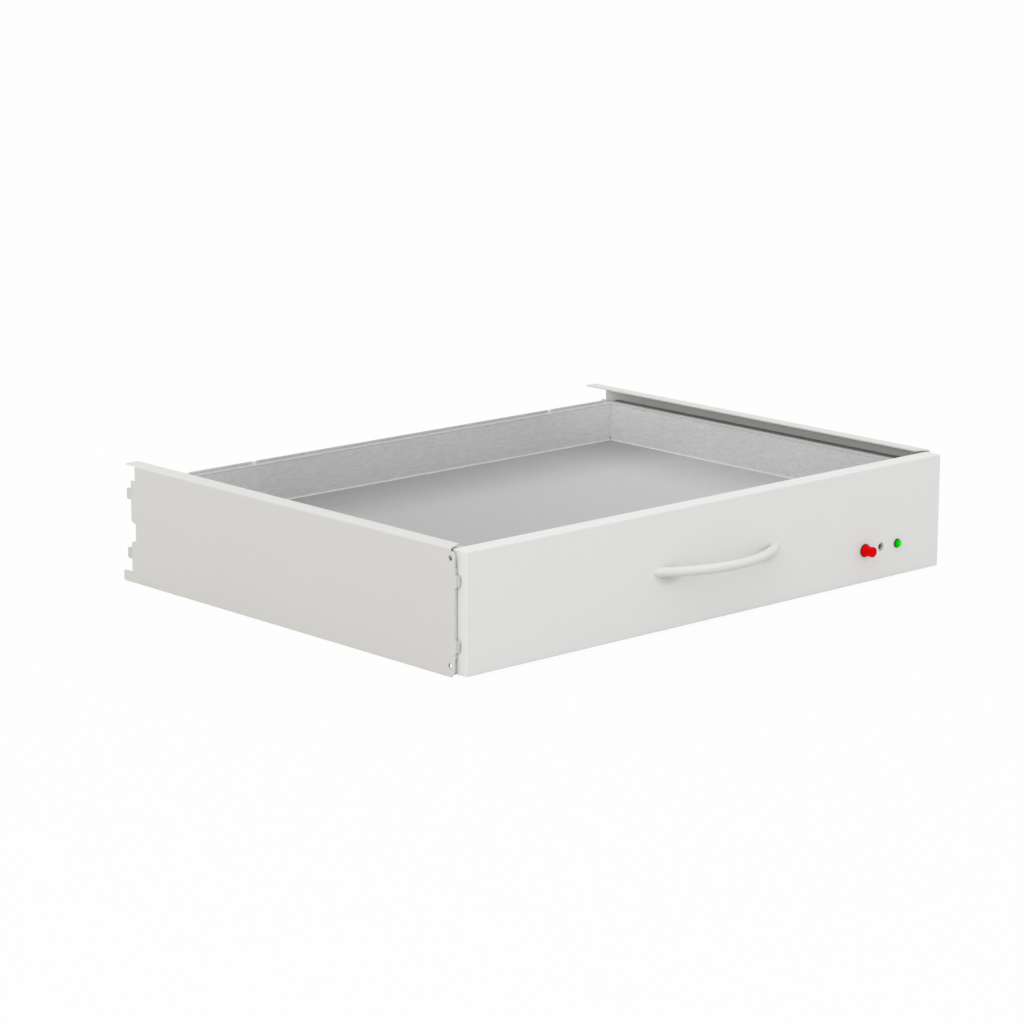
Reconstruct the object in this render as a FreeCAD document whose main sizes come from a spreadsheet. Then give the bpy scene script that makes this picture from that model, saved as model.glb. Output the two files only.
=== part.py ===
import FreeCAD, Part
import Sketcher
import math
import os
import re

# Warming drawer: a heated, insulated pan drawer that runs on telescopic rails between two side panels.
# The side panels hang in slotted uprights by hook lugs. Lengths are in millimetres.
# Places are written from the front panel's face (Y = 0, +Y to the back), from the underside of the
# side panels (Z = 0) and from the middle of the drawer (X = 0). Every sub-part is then moved by
# front_face_y, which puts the origin at the middle of the underside of the whole drawer.

SIZES = (
    # Front panel: a folded box, open at the back
    ("front_width", 800),
    ("front_depth", 23),
    ("front_sheet", 1.5),
    ("front_lift", 3.6),
    ("front_top_gap", 2.3),
    ("front_edge_radius", 1.5),
    ("front_corner_radius", 1),
    ("liner_sheet", 1.2),
    ("liner_gap", 0.2),
    ("weld_nut_radius", 4.5),
    ("weld_nut_depth", 5),
    ("panel_screw_inset", 30.4),
    ("panel_screw_margin", 26.4),
    # Side panels
    ("side_overhang", 4.6),
    ("side_height", 149.2),
    ("side_sheet", 1.5),
    ("side_front_y", 15.6),
    ("side_tail", 28),
    ("side_corner_radius", 6),
    ("side_bend_radius", 3),
    ("side_top_radius", 5.5),
    ("flange_width", 20),
    ("flange_front_y", 22),
    ("flange_front_slant", 8),
    ("flange_reach", 20),
    ("block_step", 8.5),
    ("block_slope", 3),
    ("upper_block_drop", 20.2),
    ("upper_block_height", 54),
    ("block_notch", 24),
    ("foot_reach", 26),
    ("foot_height", 13.5),
    ("foot_corner_radius", 3),
    ("fixing_hole_radius", 3.25),
    ("fixing_hole_y", 23),
    ("fixing_hole_low_z", 13),
    ("fixing_hole_drop", 12.2),
    # Hook strips, one along each end of each side panel
    ("hook_sheet", 2),
    ("hook_drop", 0.6),
    ("hook_pitch", 75),
    ("hook_height", 14),
    ("front_hook_reach", 5.7),
    ("rear_hook_reach", 10.5),
    ("hook_corner_radius", 3),
    ("hook_bump", 2.6),
    ("hook_strip_width", 14),
    ("hook_strip_margin", 8),
    # Cross rails between the side panels
    ("rail_plate", 1.5),
    ("tie_front_y", 26.5),
    ("tie_width", 20),
    ("tie_lift", 0.5),
    ("tie_tab_height", 14),
    ("cross_setback", 2),
    ("cross_depth", 14),
    ("cross_low_z", 20),
    ("cross_window_radius", 13),
    ("buffer_radius", 7),
    ("buffer_inset", 51.1),
    ("buffer_drop", 39),
    ("stop_gap", 0.3),
    # Telescopic rails
    ("slide_depth", 12.7),
    ("slide_height", 45),
    ("slide_drop", 15.9),
    ("slide_front_y", 30),
    ("slide_length", 550),
    ("slide_sheet", 1.2),
    ("slide_tip_gap", 0.6),
    ("outer_ball_diameter", 4),
    ("inner_ball_diameter", 3.2),
    ("race_gap", 0.1),
    ("cage_sheet", 0.6),
    ("cage_gap", 0.4),
    ("cage_length", 300),
    ("ball_pitch", 30),
    ("ball_hole_gap", 0.15),
    ("middle_tip_gap", 1),
    ("rail_screw_inset", 40),
    # Drawer casing
    ("casing_sheet", 1),
    ("casing_bottom_z", 10),
    ("casing_drop", 16),
    ("casing_tail", 5.8),
    ("casing_return", 14),
    ("base_screw_inset", 7),
    ("bulkhead_y", 108),
    ("heater_space", 17.6),
    ("insulation_gap", 0.6),
    # Tray
    ("tray_side_inset", 43.2),
    ("tray_front_y", 36),
    ("tray_depth", 51.7),
    ("rim_drop", 11.1),
    ("tray_sheet", 0.8),
    ("tray_floor_radius", 3),
    ("rim_width", 11.3),
    ("rear_rim_width", 12.6),
    ("rim_lip", 3),
    ("upstand", 2.9),
    ("notch_inset", 103.6),
    ("notch_width", 6),
    ("corner_relief_radius", 1.2),
    ("corner_relief_height", 6),
    ("rim_corner_cut", 14),
    ("rim_backset", 22.4),
    ("gasket_width", 8),
    ("gasket_gap", 0.4),
    # Heating
    ("spreader_sheet", 2),
    ("spreader_inset", 26),
    ("element_diameter", 6.5),
    ("element_side_margin", 76.8),
    ("element_runs", 8),
    ("element_end_y", 96),
    ("element_turn_y", 150),
    ("element_rear_margin", 50.8),
    ("clamp_width", 14),
    ("clamp_sheet", 1.2),
    ("clamp_stud_radius", 2),
    ("clamp_overhang", 30),
    ("clamp_rows", 3),
    ("reflector_sheet", 0.8),
    ("reflector_inset", 7),
    # Controls in the front panel
    ("control_height_share", 0.5895),
    ("knob_inset", 139),
    ("control_pitch", 30),
    ("seal_radius", 8.3),
    ("seal_depth", 1.2),
    ("knob_gap", 0.3),
    ("knob_skirt_radius", 7.6),
    ("knob_skirt_depth", 2.2),
    ("knob_waist_radius", 6.2),
    ("knob_tip_radius", 7),
    ("knob_length", 13.5),
    ("knob_tip_round", 2),
    ("knob_bore_depth", 9),
    ("spindle_radius", 3),
    ("spindle_fit", 0.05),
    ("spindle_engagement", 10),
    ("wall_hole_gap", 1),
    ("bracket_sheet", 1.2),
    ("bracket_margin", 4),
    ("thermostat_width", 27),
    ("thermostat_depth", 42),
    ("thermostat_gap", 2.9),
    ("limiter_width", 24),
    ("limiter_depth", 36),
    ("limiter_step", 4),
    ("control_cutout_radius", 10),
    ("reset_hole_radius", 5.3),
    ("bush_radius", 4.8),
    ("bush_wall", 1.1),
    ("bush_recess", 0.8),
    ("button_radius", 3.2),
    ("button_recess", 3),
    ("button_travel", 2.5),
    ("lamp_gasket_radius", 5.8),
    ("lamp_gasket_depth", 0.8),
    ("lens_radius", 5.2),
    ("lens_flange_depth", 1.2),
    ("lens_height", 4.8),
    ("lamp_body_radius", 4.5),
    ("lamp_body_bore", 3),
    ("lamp_body_length", 34),
    ("lamp_nut_width", 13),
    ("lamp_nut_depth", 4),
    ("sensor_radius", 3),
    ("sensor_length", 110),
    ("sensor_y", 44),
    ("capillary_radius", 0.9),
    # Handle
    ("handle_half_chord", 98.4),
    ("handle_bow", 33.5),
    ("handle_tube_radius", 5.9),
    ("handle_screw_x", 91),
    ("handle_screw_length", 9),
    # Supply
    ("inlet_inset", 50.4),
    ("duct_radius", 8),
    ("duct_wall", 1),
    ("gland_thread_radius", 6),
    ("gland_thread_length", 6),
    ("gland_hex_width", 18),
    ("gland_hex_depth", 6),
    ("gland_cap_radius", 8),
    ("gland_cap_depth", 10),
    ("gland_bore_radius", 4),
    ("gland_nut_depth", 4),
    ("block_x", 120),
    ("block_y", 62),
    ("block_length", 42),
    ("block_width", 22),
    ("block_height", 18),
    ("block_poles", 3),
    ("earth_x", 60),
    ("earth_stud_radius", 2.5),
    ("earth_stud_height", 14),
    ("earth_nut_width", 8),
    ("earth_nut_depth", 4),
    ("lead_radius", 1.3),
    ("lamp_return_share", 1.5),
    ("lead_bend_radius", 3.5),
    ("lead_lift", 7),
    ("lead_clearance", 4),
    # Screws: M4 pan head, used throughout
    ("screw_radius", 2),
    ("screw_hole_gap", 0.2),
    ("screw_head_radius", 4),
    ("screw_head_depth", 2.3),
    ("screw_socket_radius", 1.4),
    ("rail_screw_length", 6),
    ("base_screw_length", 5),
    ("panel_screw_length", 7),
    # Overrun of a cut past the face that it opens
    ("overrun", 5),
)

PLACES = (
    ("front_end_x", "front_width / 2"),
    ("front_height", "side_height - front_lift - front_top_gap"),
    ("front_top_z", "front_lift + front_height"),
    ("side_rear_y", "slide_front_y + slide_length + side_tail"),
    ("flange_rear_y", "side_rear_y + flange_reach"),
    ("foot_rear_y", "side_rear_y + foot_reach"),
    ("upper_block_top_z", "side_height - upper_block_drop"),
    ("upper_block_low_z", "upper_block_top_z - upper_block_height"),
    ("lower_block_top_z", "upper_block_low_z - block_notch"),
    ("fixing_hole_high_z", "side_height - fixing_hole_drop"),
    ("hook_low_z", "(side_height - hook_pitch) / 2 - hook_drop"),
    ("cross_rear_y", "side_rear_y - cross_setback"),
    ("cross_top_z", "upper_block_top_z"),
    ("handle_z", "front_lift + front_height / 2"),
    ("handle_reach", "handle_bow + handle_tube_radius"),
    ("front_face_y", "(handle_reach - foot_rear_y) / 2"),
    ("side_outer_x", "front_end_x + side_overhang"),
    ("side_inner_x", "side_outer_x - side_sheet"),
    ("strip_inner_x", "side_inner_x - hook_sheet"),
    ("bend_low_z", "side_height - side_bend_radius - side_sheet"),
    ("block_rear_y", "side_rear_y + block_step"),
    ("buffer_x", "strip_inner_x - buffer_inset"),
    ("buffer_z", "cross_top_z - buffer_drop"),
    ("casing_x", "side_inner_x - slide_depth"),
    ("casing_front_y", "front_depth"),
    ("casing_rear_y", "slide_front_y + slide_length + casing_tail"),
    ("casing_top_z", "side_height - casing_drop"),
    ("panel_screw_x", "casing_x - panel_screw_inset"),
    ("panel_screw_low_z", "front_lift + panel_screw_margin"),
    ("panel_screw_high_z", "front_top_z - panel_screw_margin"),
    ("casing_inner_x", "casing_x - casing_sheet"),
    ("casing_inner_rear_y", "casing_rear_y - casing_sheet"),
    ("return_z", "casing_bottom_z + casing_sheet"),
    ("return_x", "casing_x - casing_return"),
    ("service_front_y", "casing_front_y + casing_sheet"),
    ("tray_half_width", "front_end_x - tray_side_inset"),
    ("rim_rear_y", "casing_rear_y - rim_backset"),
    ("tray_rear_y", "rim_rear_y - rear_rim_width"),
    ("tray_rim_z", "side_height - rim_drop"),
    ("tray_floor_z", "tray_rim_z - tray_depth"),
    ("rim_x", "tray_half_width + rim_width"),
    ("rim_front_y", "tray_front_y - rim_width"),
    ("notch_x", "tray_half_width - notch_inset"),
    ("tray_under_z", "tray_floor_z - tray_sheet"),
    ("insulation_top_z", "tray_under_z - heater_space"),
    ("element_pitch", "2 * (tray_half_width - element_side_margin) / (element_runs - 1)"),
    ("element_rear_y", "tray_rear_y - element_rear_margin"),
    ("spreader_low_z", "tray_under_z - spreader_sheet"),
    ("element_z", "spreader_low_z - element_diameter / 2"),
    ("clamp_top_z", "spreader_low_z - element_diameter"),
    ("slide_top_z", "side_height - slide_drop"),
    ("slide_z", "slide_top_z - slide_height / 2"),
    ("cage_start", "(slide_length - cage_length) / 2"),
    ("outer_tip_x", "casing_x + slide_tip_gap"),
    ("outer_web_x", "side_inner_x - slide_sheet"),
    ("outer_cage_x", "outer_web_x - cage_gap - cage_sheet"),
    ("middle_web_x", "outer_cage_x - cage_gap - slide_sheet"),
    ("middle_tip_x", "casing_x + slide_sheet + middle_tip_gap"),
    ("inner_cage_x", "middle_web_x - cage_gap - cage_sheet"),
    ("inner_tip_x", "inner_cage_x - cage_gap"),
    ("outer_race", "slide_height / 2 - slide_sheet"),
    ("middle_outside", "outer_race - outer_ball_diameter - 2 * race_gap"),
    ("middle_inside", "middle_outside - slide_sheet"),
    ("inner_outside", "middle_inside - inner_ball_diameter - 2 * race_gap"),
    ("control_z", "return_z + control_height_share * (insulation_top_z - return_z)"),
    ("thermostat_height", "2 * (insulation_top_z - control_z - thermostat_gap)"),
    ("limiter_height", "thermostat_height - limiter_step"),
    ("knob_x", "front_end_x - knob_inset"),
    ("reset_x", "knob_x + control_pitch"),
    ("lamp_x", "reset_x + control_pitch"),
    ("inlet_x", "casing_x - inlet_inset"),
    ("inlet_z", "(return_z + insulation_top_z) / 2"),
    ("handle_bend_radius", "(handle_half_chord ^ 2 + handle_bow ^ 2) / (2 * handle_bow)"),
    ("thermostat_front_y", "service_front_y + bracket_sheet"),
    ("knob_base_y", "-(seal_depth + knob_gap)"),
    ("liner_y", "front_depth - liner_sheet"),
    ("rail_screw_pitch", "(slide_length - 2 * rail_screw_inset) / 2"),
)

# Edges are found by the place of their middle, to within this share of the sheet thickness
MATCH_SHARE = 0.05

doc = FreeCAD.newDocument("WarmingDrawer")
subparts = []


def fill_sheet(label, rows, as_text):
    """A spreadsheet with one alias per row; as_text turns a row's value into the cell's text."""
    sheet = doc.addObject("Spreadsheet::Sheet", label)
    for row, (alias, value) in enumerate(rows, start=1):
        sheet.set("A%d" % row, alias)
        sheet.set("B%d" % row, as_text(value))
        sheet.setAlias("B%d" % row, alias)
    return sheet


def formula(text):
    """The expression with the sheet's name before each alias."""
    return re.sub(r"[a-z_]+", lambda found: HOME.get(found.group(0), "") + found.group(0), text)


HOME = {alias: "Sizes." for alias, value in SIZES}
sizes = fill_sheet("Sizes", SIZES, str)
HOME.update({alias: "Places." for alias, text in PLACES})
own_alias = dict.fromkeys((alias for alias, text in PLACES), "")


def place_formula(text):
    """A formula for the sheet of places: its own aliases stay bare."""
    home = {**HOME, **own_alias}
    return "=" + re.sub(r"[a-z_]+", lambda found: home.get(found.group(0), "") + found.group(0), text)


places = fill_sheet("Places", PLACES, place_formula)
doc.recompute()


def number(text):
    """The value of a formula, in millimetres."""
    return float(sizes.evalExpression(formula(text)))


def bind(thing, prop, text):
    """Tie one property to a formula."""
    thing.setExpression(prop, formula(text))


def keep(thing, label, x="0", z="0"):
    """Register a sub-part under its own name and move it to the part's origin."""
    thing.Label = label
    bind(thing, "Placement.Base.x", x)
    bind(thing, "Placement.Base.y", "front_face_y")
    bind(thing, "Placement.Base.z", z)
    subparts.append(thing)
    return thing


# Bodies: sketches on the origin planes, padded or pocketed from a named height along an axis

PLANE_OF_AXIS = {"x": "YZ_Plane", "y": "XZ_Plane", "z": "XY_Plane"}


def new_body(name):
    return doc.addObject("PartDesign::Body", name)


def kept_body(name, x="0", z="0"):
    """A body that is a sub-part itself."""
    return keep(new_body(name), name, x, z)


def rectangle(left, low, right, high):
    """The four corners of an upright rectangle, as formulas."""
    return ((left, low), (right, low), (right, high), (left, high))


def circle(across, up, radius):
    """A circle in a sketch, as formulas."""
    return (across, up, radius)


def draw_polygon(sketch, points):
    """A closed outline whose corners are each held by two bound distances."""
    corners = [FreeCAD.Vector(number(across), number(up), 0) for across, up in points]
    first = sketch.GeometryCount
    count = len(points)
    for index in range(count):
        sketch.addGeometry(Part.LineSegment(corners[index], corners[(index + 1) % count]), False)
    for index in range(count):
        following = first + (index + 1) % count
        sketch.addConstraint(Sketcher.Constraint("Coincident", first + index, 2, following, 1))
    for index, (across, up) in enumerate(points):
        hold_point(sketch, first + index, 1, across, up)


def hold_point(sketch, geometry, vertex, across, up):
    """Distances from the sketch's origin to one point, bound to formulas."""
    for kind, text in (("DistanceX", across), ("DistanceY", up)):
        held = sketch.addConstraint(Sketcher.Constraint(kind, -1, 1, geometry, vertex, number(text)))
        sketch.setExpression("Constraints[%d]" % held, formula(text))


def draw_circle(sketch, across, up, radius):
    centre = FreeCAD.Vector(number(across), number(up), 0)
    index = sketch.addGeometry(Part.Circle(centre, FreeCAD.Vector(0, 0, 1), number(radius)), False)
    hold_point(sketch, index, 3, across, up)
    held = sketch.addConstraint(Sketcher.Constraint("Radius", index, number(radius)))
    sketch.setExpression("Constraints[%d]" % held, formula(radius))


def new_sketch(body, axis, at, outlines):
    """A sketch square to an axis at a height, holding polygons and circles."""
    sketch = body.newObject("Sketcher::SketchObject", body.Name + "_sketch")
    plane = next(face for face in body.Origin.OriginFeatures if face.Role == PLANE_OF_AXIS[axis])
    sketch.AttachmentSupport = (plane, [""])
    sketch.MapMode = "FlatFace"
    bind(sketch, "AttachmentOffset.Base.z", "-(%s)" % at if axis == "y" else at)
    for outline in outlines:
        if isinstance(outline[0], str):
            draw_circle(sketch, *outline)
        else:
            draw_polygon(sketch, outline)
    return sketch


def pad(body, axis, at, thickness, *outlines):
    """Add material from a height along an axis, towards its positive side."""
    feature = body.newObject("PartDesign::Pad", body.Name + "_pad")
    feature.Profile = new_sketch(body, axis, at, outlines)
    bind(feature, "Length", thickness)
    feature.Reversed = axis == "y"
    doc.recompute()
    return feature


def pocket(body, axis, at, depth, *outlines):
    """Remove material from a height along an axis, towards its positive side."""
    before = body.Shape.Volume
    feature = body.newObject("PartDesign::Pocket", body.Name + "_pocket")
    feature.Profile = new_sketch(body, axis, at, outlines)
    bind(feature, "Length", depth)
    feature.Reversed = axis != "y"
    doc.recompute()
    if body.Shape.Volume >= before:
        raise RuntimeError("%s cuts nothing" % feature.Name)
    return feature


def turn(body, profile):
    """A solid of revolution about the body's own Y axis from points (along Y, radius)."""
    feature = body.newObject("PartDesign::Revolution", body.Name + "_turn")
    sketch = new_sketch(body, "x", "0", [profile])
    feature.Profile = sketch
    feature.ReferenceAxis = (sketch, ["H_Axis"])
    feature.Angle = 360
    doc.recompute()
    return feature


def turned_part(name, x, z, profile):
    body = kept_body(name, x, z)
    turn(body, profile)
    return body


def edge_names(body, axis, **where):
    """Names of a body's straight edges along an axis whose middle has the given coordinates."""
    reach = MATCH_SHARE * number("tray_sheet")
    names = []
    for index, edge in enumerate(body.Tip.Shape.Edges, start=1):
        if not isinstance(edge.Curve, Part.Line):
            continue
        direction = edge.Vertexes[-1].Point - edge.Vertexes[0].Point
        along = {"x": direction.x, "y": direction.y, "z": direction.z}
        if abs(along[axis]) < edge.Length - reach:
            continue
        middle = (edge.Vertexes[-1].Point + edge.Vertexes[0].Point) / 2
        place = {"x": middle.x, "y": middle.y, "z": middle.z}
        if all(abs(place[key] - number(text)) < reach for key, text in where.items()):
            names.append("Edge%d" % index)
    return names


def round_edges(body, radius, names):
    """Fillet the named edges of the body as it stands."""
    if not names:
        raise RuntimeError("%s has no edge there to round" % body.Name)
    base = body.Tip
    feature = body.newObject("PartDesign::Fillet", body.Name + "_fillet")
    feature.Base = (base, names)
    bind(feature, "Radius", radius)
    doc.recompute()
    return feature


def across(side, inner, outer):
    """Start and thickness along X of something between two distances from the middle, on one side."""
    start = inner if side > 0 else "-(%s)" % outer
    return start, "(%s) - (%s)" % (outer, inner)


def to_side(side, text):
    return text if side > 0 else "-(%s)" % text


def side_name(side):
    return "right" if side > 0 else "left"


SIDES = (-1, 1)
HEXAGON_SIDES = 6


# Loose shapes for groups of small pieces, read from the same sheets

def rod(axis, x, y, z, radius, length):
    """A cylinder from a point along +axis; x, y and z are numbers."""
    directions = {"x": FreeCAD.Vector(1, 0, 0), "y": FreeCAD.Vector(0, 1, 0), "z": FreeCAD.Vector(0, 0, 1)}
    return Part.makeCylinder(radius, length, FreeCAD.Vector(x, y, z), directions[axis])


def screw(axis, x, y, z, shank_length, way=1):
    """A pan head screw with a hex socket: its head seats at the point, its shank runs along way * axis."""
    head_depth = number("screw_head_depth")
    step = {"x": (1, 0, 0), "y": (0, 1, 0), "z": (0, 0, 1)}[axis]
    along = FreeCAD.Vector(*step) * way
    seat = FreeCAD.Vector(x, y, z)
    shank = Part.makeCylinder(number("screw_radius"), shank_length, seat, along)
    head = Part.makeCylinder(number("screw_head_radius"), head_depth, seat, -along)
    socket_depth = head_depth / 2
    socket_radius = number("screw_socket_radius")
    socket = Part.makeCylinder(socket_radius, socket_depth, seat - along * socket_depth, -along)
    return head.fuse(shank).cut(socket).removeSplitter()


def kept_feature(name, shape):
    """A sub-part whose shape comes from Part's own functions."""
    feature = doc.addObject("Part::Feature", name)
    feature.Shape = shape
    return keep(feature, name)


def group_feature(name, shapes):
    return kept_feature(name, Part.makeCompound(shapes))


def kept_group(name, members):
    """Separate solids of one kind under one name."""
    group = doc.addObject("Part::Compound", name)
    group.Links = members
    return keep(group, name)


# Side panels

def side_panel(side):
    """Sheet panel: web with hook bumps, rear blocks and foot, and a top flange bent inwards."""
    body = kept_body(side_name(side) + "_side_panel")
    web_start, web_sheet = across(side, "side_inner_x", "side_outer_x")
    outline = (
        ("side_front_y + side_corner_radius", "0"),
        ("foot_rear_y", "0"),
        ("foot_rear_y", "foot_height"),
        ("block_rear_y", "foot_height"),
        ("block_rear_y", "lower_block_top_z"),
        ("side_rear_y", "lower_block_top_z + block_slope"),
        ("side_rear_y", "upper_block_low_z"),
        ("block_rear_y", "upper_block_low_z + block_slope"),
        ("block_rear_y", "upper_block_top_z"),
        ("side_rear_y", "upper_block_top_z"),
        ("side_rear_y", "bend_low_z"),
        ("side_front_y", "bend_low_z"),
        ("side_front_y", "side_corner_radius"),
    )
    pad(body, "x", web_start, web_sheet, outline)
    for row in ("hook_low_z", "hook_low_z + hook_pitch"):
        bump = rectangle("side_front_y - hook_bump", "%s - hook_height / 2" % row,
                         "side_front_y + hook_bump", "%s + hook_height / 2" % row)
        pad(body, "x", web_start, web_sheet, bump)
    pad(body, "y", "flange_front_y", "flange_rear_y - flange_front_y", flange_profile(side))
    outer_bend = edge_names(body, "y", x=to_side(side, "side_outer_x"), z="side_height")
    round_edges(body, "side_bend_radius", outer_bend)
    pocket(body, "z", "bend_low_z", "side_height", flange_slant(side))
    holes = [circle("fixing_hole_y", height, "fixing_hole_radius")
             for height in ("fixing_hole_low_z", "fixing_hole_high_z")]
    pocket(body, "x", web_start, web_sheet, *holes)
    past_web = rectangle("side_rear_y", "bend_low_z - overrun", "flange_rear_y + overrun",
                         "side_height - side_sheet")
    pocket(body, "x", web_start, web_sheet, past_web)
    round_edges(body, "foot_corner_radius", edge_names(body, "x", y="foot_rear_y"))
    round_edges(body, "side_top_radius", edge_names(body, "x", y="side_front_y", z="bend_low_z"))
    return body


def flange_profile(side):
    """The flange and the top of the web, an L seen from the front."""
    outer = to_side(side, "side_outer_x")
    inner = to_side(side, "side_inner_x")
    tip = to_side(side, "(side_outer_x - flange_width)")
    return (
        (outer, "bend_low_z"),
        (outer, "side_height"),
        (tip, "side_height"),
        (tip, "side_height - side_sheet"),
        (inner, "side_height - side_sheet"),
        (inner, "bend_low_z"),
    )


def flange_slant(side):
    """The corner taken off the flange's front end, seen from above."""
    outer = to_side(side, "side_outer_x")
    tip = to_side(side, "(side_outer_x - flange_width)")
    past = to_side(side, "(side_outer_x - flange_width - overrun)")
    slant_end = "flange_front_y + flange_front_slant"
    return (
        (outer, "flange_front_y"),
        (tip, slant_end),
        (past, slant_end),
        (past, "flange_front_y - overrun"),
        (outer, "flange_front_y - overrun"),
    )


def hook_strip(side, end, edge, way, reach):
    """Zinc plated strip behind the web with two hook lugs; way is +1 where the lugs point backwards."""
    body = kept_body("%s_%s_hook_strip" % (side_name(side), end))
    start, sheet = across(side, "strip_inner_x", "side_inner_x")
    sign = "+" if way > 0 else "-"
    back = "-" if way > 0 else "+"
    low = "hook_low_z - hook_height / 2 - hook_strip_margin"
    high = "hook_low_z + hook_pitch + hook_height / 2 + hook_strip_margin"
    strip = rectangle(edge, low, "%s %s hook_strip_width" % (edge, back), high)
    pad(body, "x", start, sheet, strip)
    tip = "%s %s (%s)" % (edge, sign, reach)
    for row in ("hook_low_z", "hook_low_z + hook_pitch"):
        lug = rectangle(edge, "%s - hook_height / 2" % row, tip, "%s + hook_height / 2" % row)
        pad(body, "x", start, sheet, lug)
    round_edges(body, "hook_corner_radius", edge_names(body, "x", y=tip))
    return body


for side in SIDES:
    side_panel(side)
    hook_strip(side, "front", "side_front_y", -1, "front_hook_reach")
    hook_strip(side, "rear", "side_rear_y", 1, "block_step + rear_hook_reach")


# Cross rails

def front_tie_bar():
    """Low bar across the front with a tab bent up at each end."""
    body = kept_body("front_tie_bar")
    low = "tie_lift"
    across_bar = rectangle("-side_inner_x", low, "side_inner_x", "%s + rail_plate" % low)
    pad(body, "y", "tie_front_y", "tie_width", across_bar)
    for side in SIDES:
        inner = to_side(side, "(side_inner_x - rail_plate)")
        outer = to_side(side, "side_inner_x")
        pad(body, "y", "tie_front_y", "tie_width", rectangle(inner, low, outer, "tie_tab_height"))
    return body


def rear_cross_rail():
    """Channel across the back, open to the front, with closed ends and a window for the supply lead."""
    body = kept_body("rear_cross_rail")
    front = "cross_rear_y - cross_depth"
    outline = rectangle("-strip_inner_x", "cross_low_z", "strip_inner_x", "cross_top_z")
    pad(body, "y", front, "cross_depth", outline)
    hollow = rectangle("-(strip_inner_x - rail_plate)", "cross_low_z + rail_plate",
                       "strip_inner_x - rail_plate", "cross_top_z - rail_plate")
    pocket(body, "y", front, "cross_depth - rail_plate", hollow)
    window = circle("inlet_x", "inlet_z", "cross_window_radius")
    pocket(body, "y", front, "cross_depth", window)
    return body


def rear_buffers():
    """Rubber stops on the cross rail, just clear of the closed drawer."""
    members = []
    for side in SIDES:
        buffer = new_body("rear_buffer")
        front = "casing_rear_y + stop_gap"
        round_pad = circle(to_side(side, "buffer_x"), "buffer_z", "buffer_radius")
        pad(buffer, "y", front, "cross_rear_y - rail_plate - (%s)" % front, round_pad)
        members.append(buffer)
    return kept_group("rear_buffers", members)


front_tie_bar()
rear_cross_rail()
rear_buffers()


# Telescopic rails: each member is a channel; the outer one opens inwards, the inner one outwards

def channel(side, web_near, web_far, tip, half_height, sheet):
    """Channel section seen from the front, its web between two distances and its lips reaching to tip."""
    points = (
        (web_far, "slide_z - (%s)" % half_height),
        (web_far, "slide_z + (%s)" % half_height),
        (tip, "slide_z + (%s)" % half_height),
        (tip, "slide_z + (%s) - %s" % (half_height, sheet)),
        (web_near, "slide_z + (%s) - %s" % (half_height, sheet)),
        (web_near, "slide_z - (%s) + %s" % (half_height, sheet)),
        (tip, "slide_z - (%s) + %s" % (half_height, sheet)),
        (tip, "slide_z - (%s)" % half_height),
    )
    return tuple((to_side(side, "(%s)" % x), z) for x, z in points)


def slide_member(name, side, web_near, web_far, tip, half_height):
    body = kept_body("%s_%s" % (side_name(side), name))
    section = channel(side, web_near, web_far, tip, half_height, "slide_sheet")
    pad(body, "y", "slide_front_y", "slide_length", section)
    return body


def rail_screw_places():
    return ["slide_front_y + rail_screw_inset + %d * rail_screw_pitch" % step for step in range(3)]


def inner_member(side):
    """The member on the drawer, with a hole for each of its screws."""
    body = slide_member("inner_rail", side, "casing_x + slide_sheet", "casing_x", "inner_tip_x",
                        "inner_outside")
    start, sheet = across(side, "casing_x", "casing_x + slide_sheet")
    holes = [circle(place, "slide_z", "screw_radius + screw_hole_gap") for place in rail_screw_places()]
    pocket(body, "x", start, sheet, *holes)
    return body


def ball_rows(diameter):
    """Places along Y of the balls in one row, as formulas."""
    count = int((number("cage_length") - number(diameter)) // number("ball_pitch"))
    margin = "(cage_length - %d * ball_pitch) / 2" % (count - 1)
    return ["slide_front_y + cage_start + %s + %d * ball_pitch" % (margin, step) for step in range(count)]


def ball_cages(name, web, tip, race_outside, race_inside, diameter):
    """Thin channels that hold the balls of both sides at their spacing."""
    middle = "(%s + %s) / 2" % (race_outside, race_inside)
    members = []
    for side in SIDES:
        cage = new_body(name + "_member")
        section = channel(side, web, web + " + cage_sheet", tip, middle + " + cage_sheet / 2", "cage_sheet")
        pad(cage, "y", "slide_front_y + cage_start", "cage_length", section)
        row_x = to_side(side, "((%s + %s) / 2)" % (web, tip))
        holes = [circle(row_x, place, diameter + " / 2 + ball_hole_gap") for place in ball_rows(diameter)]
        pocket(cage, "z", "slide_z - slide_height / 2", "slide_height", *holes)
        members.append(cage)
    return kept_group(name + "_cages", members)


def balls(name, web, tip, race_outside, race_inside, diameter):
    """Balls between two members, above and below, on both sides."""
    offset = number("(%s + %s) / 2" % (race_outside, race_inside))
    row_x = number("(%s + %s) / 2" % (web, tip))
    height = number("slide_z")
    radius = number(diameter + " / 2")
    shapes = []
    for side in SIDES:
        for place in ball_rows(diameter):
            for up in (-offset, offset):
                centre = FreeCAD.Vector(side * row_x, number(place), height + up)
                shapes.append(Part.makeSphere(radius, centre))
    return group_feature(name + "_balls", shapes)


for side in SIDES:
    slide_member("outer_rail", side, "outer_web_x", "side_inner_x", "outer_tip_x", "slide_height / 2")
    slide_member("middle_rail", side, "middle_web_x", "middle_web_x + slide_sheet", "middle_tip_x",
                 "middle_outside")
    inner_member(side)

OUTER_RUN = ("outer", "outer_cage_x", "middle_tip_x", "outer_race", "middle_outside",
             "outer_ball_diameter")
INNER_RUN = ("inner", "inner_cage_x", "middle_tip_x", "middle_inside", "inner_outside",
             "inner_ball_diameter")
for run in (OUTER_RUN, INNER_RUN):
    ball_cages(*run)
    balls(*run)


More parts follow.
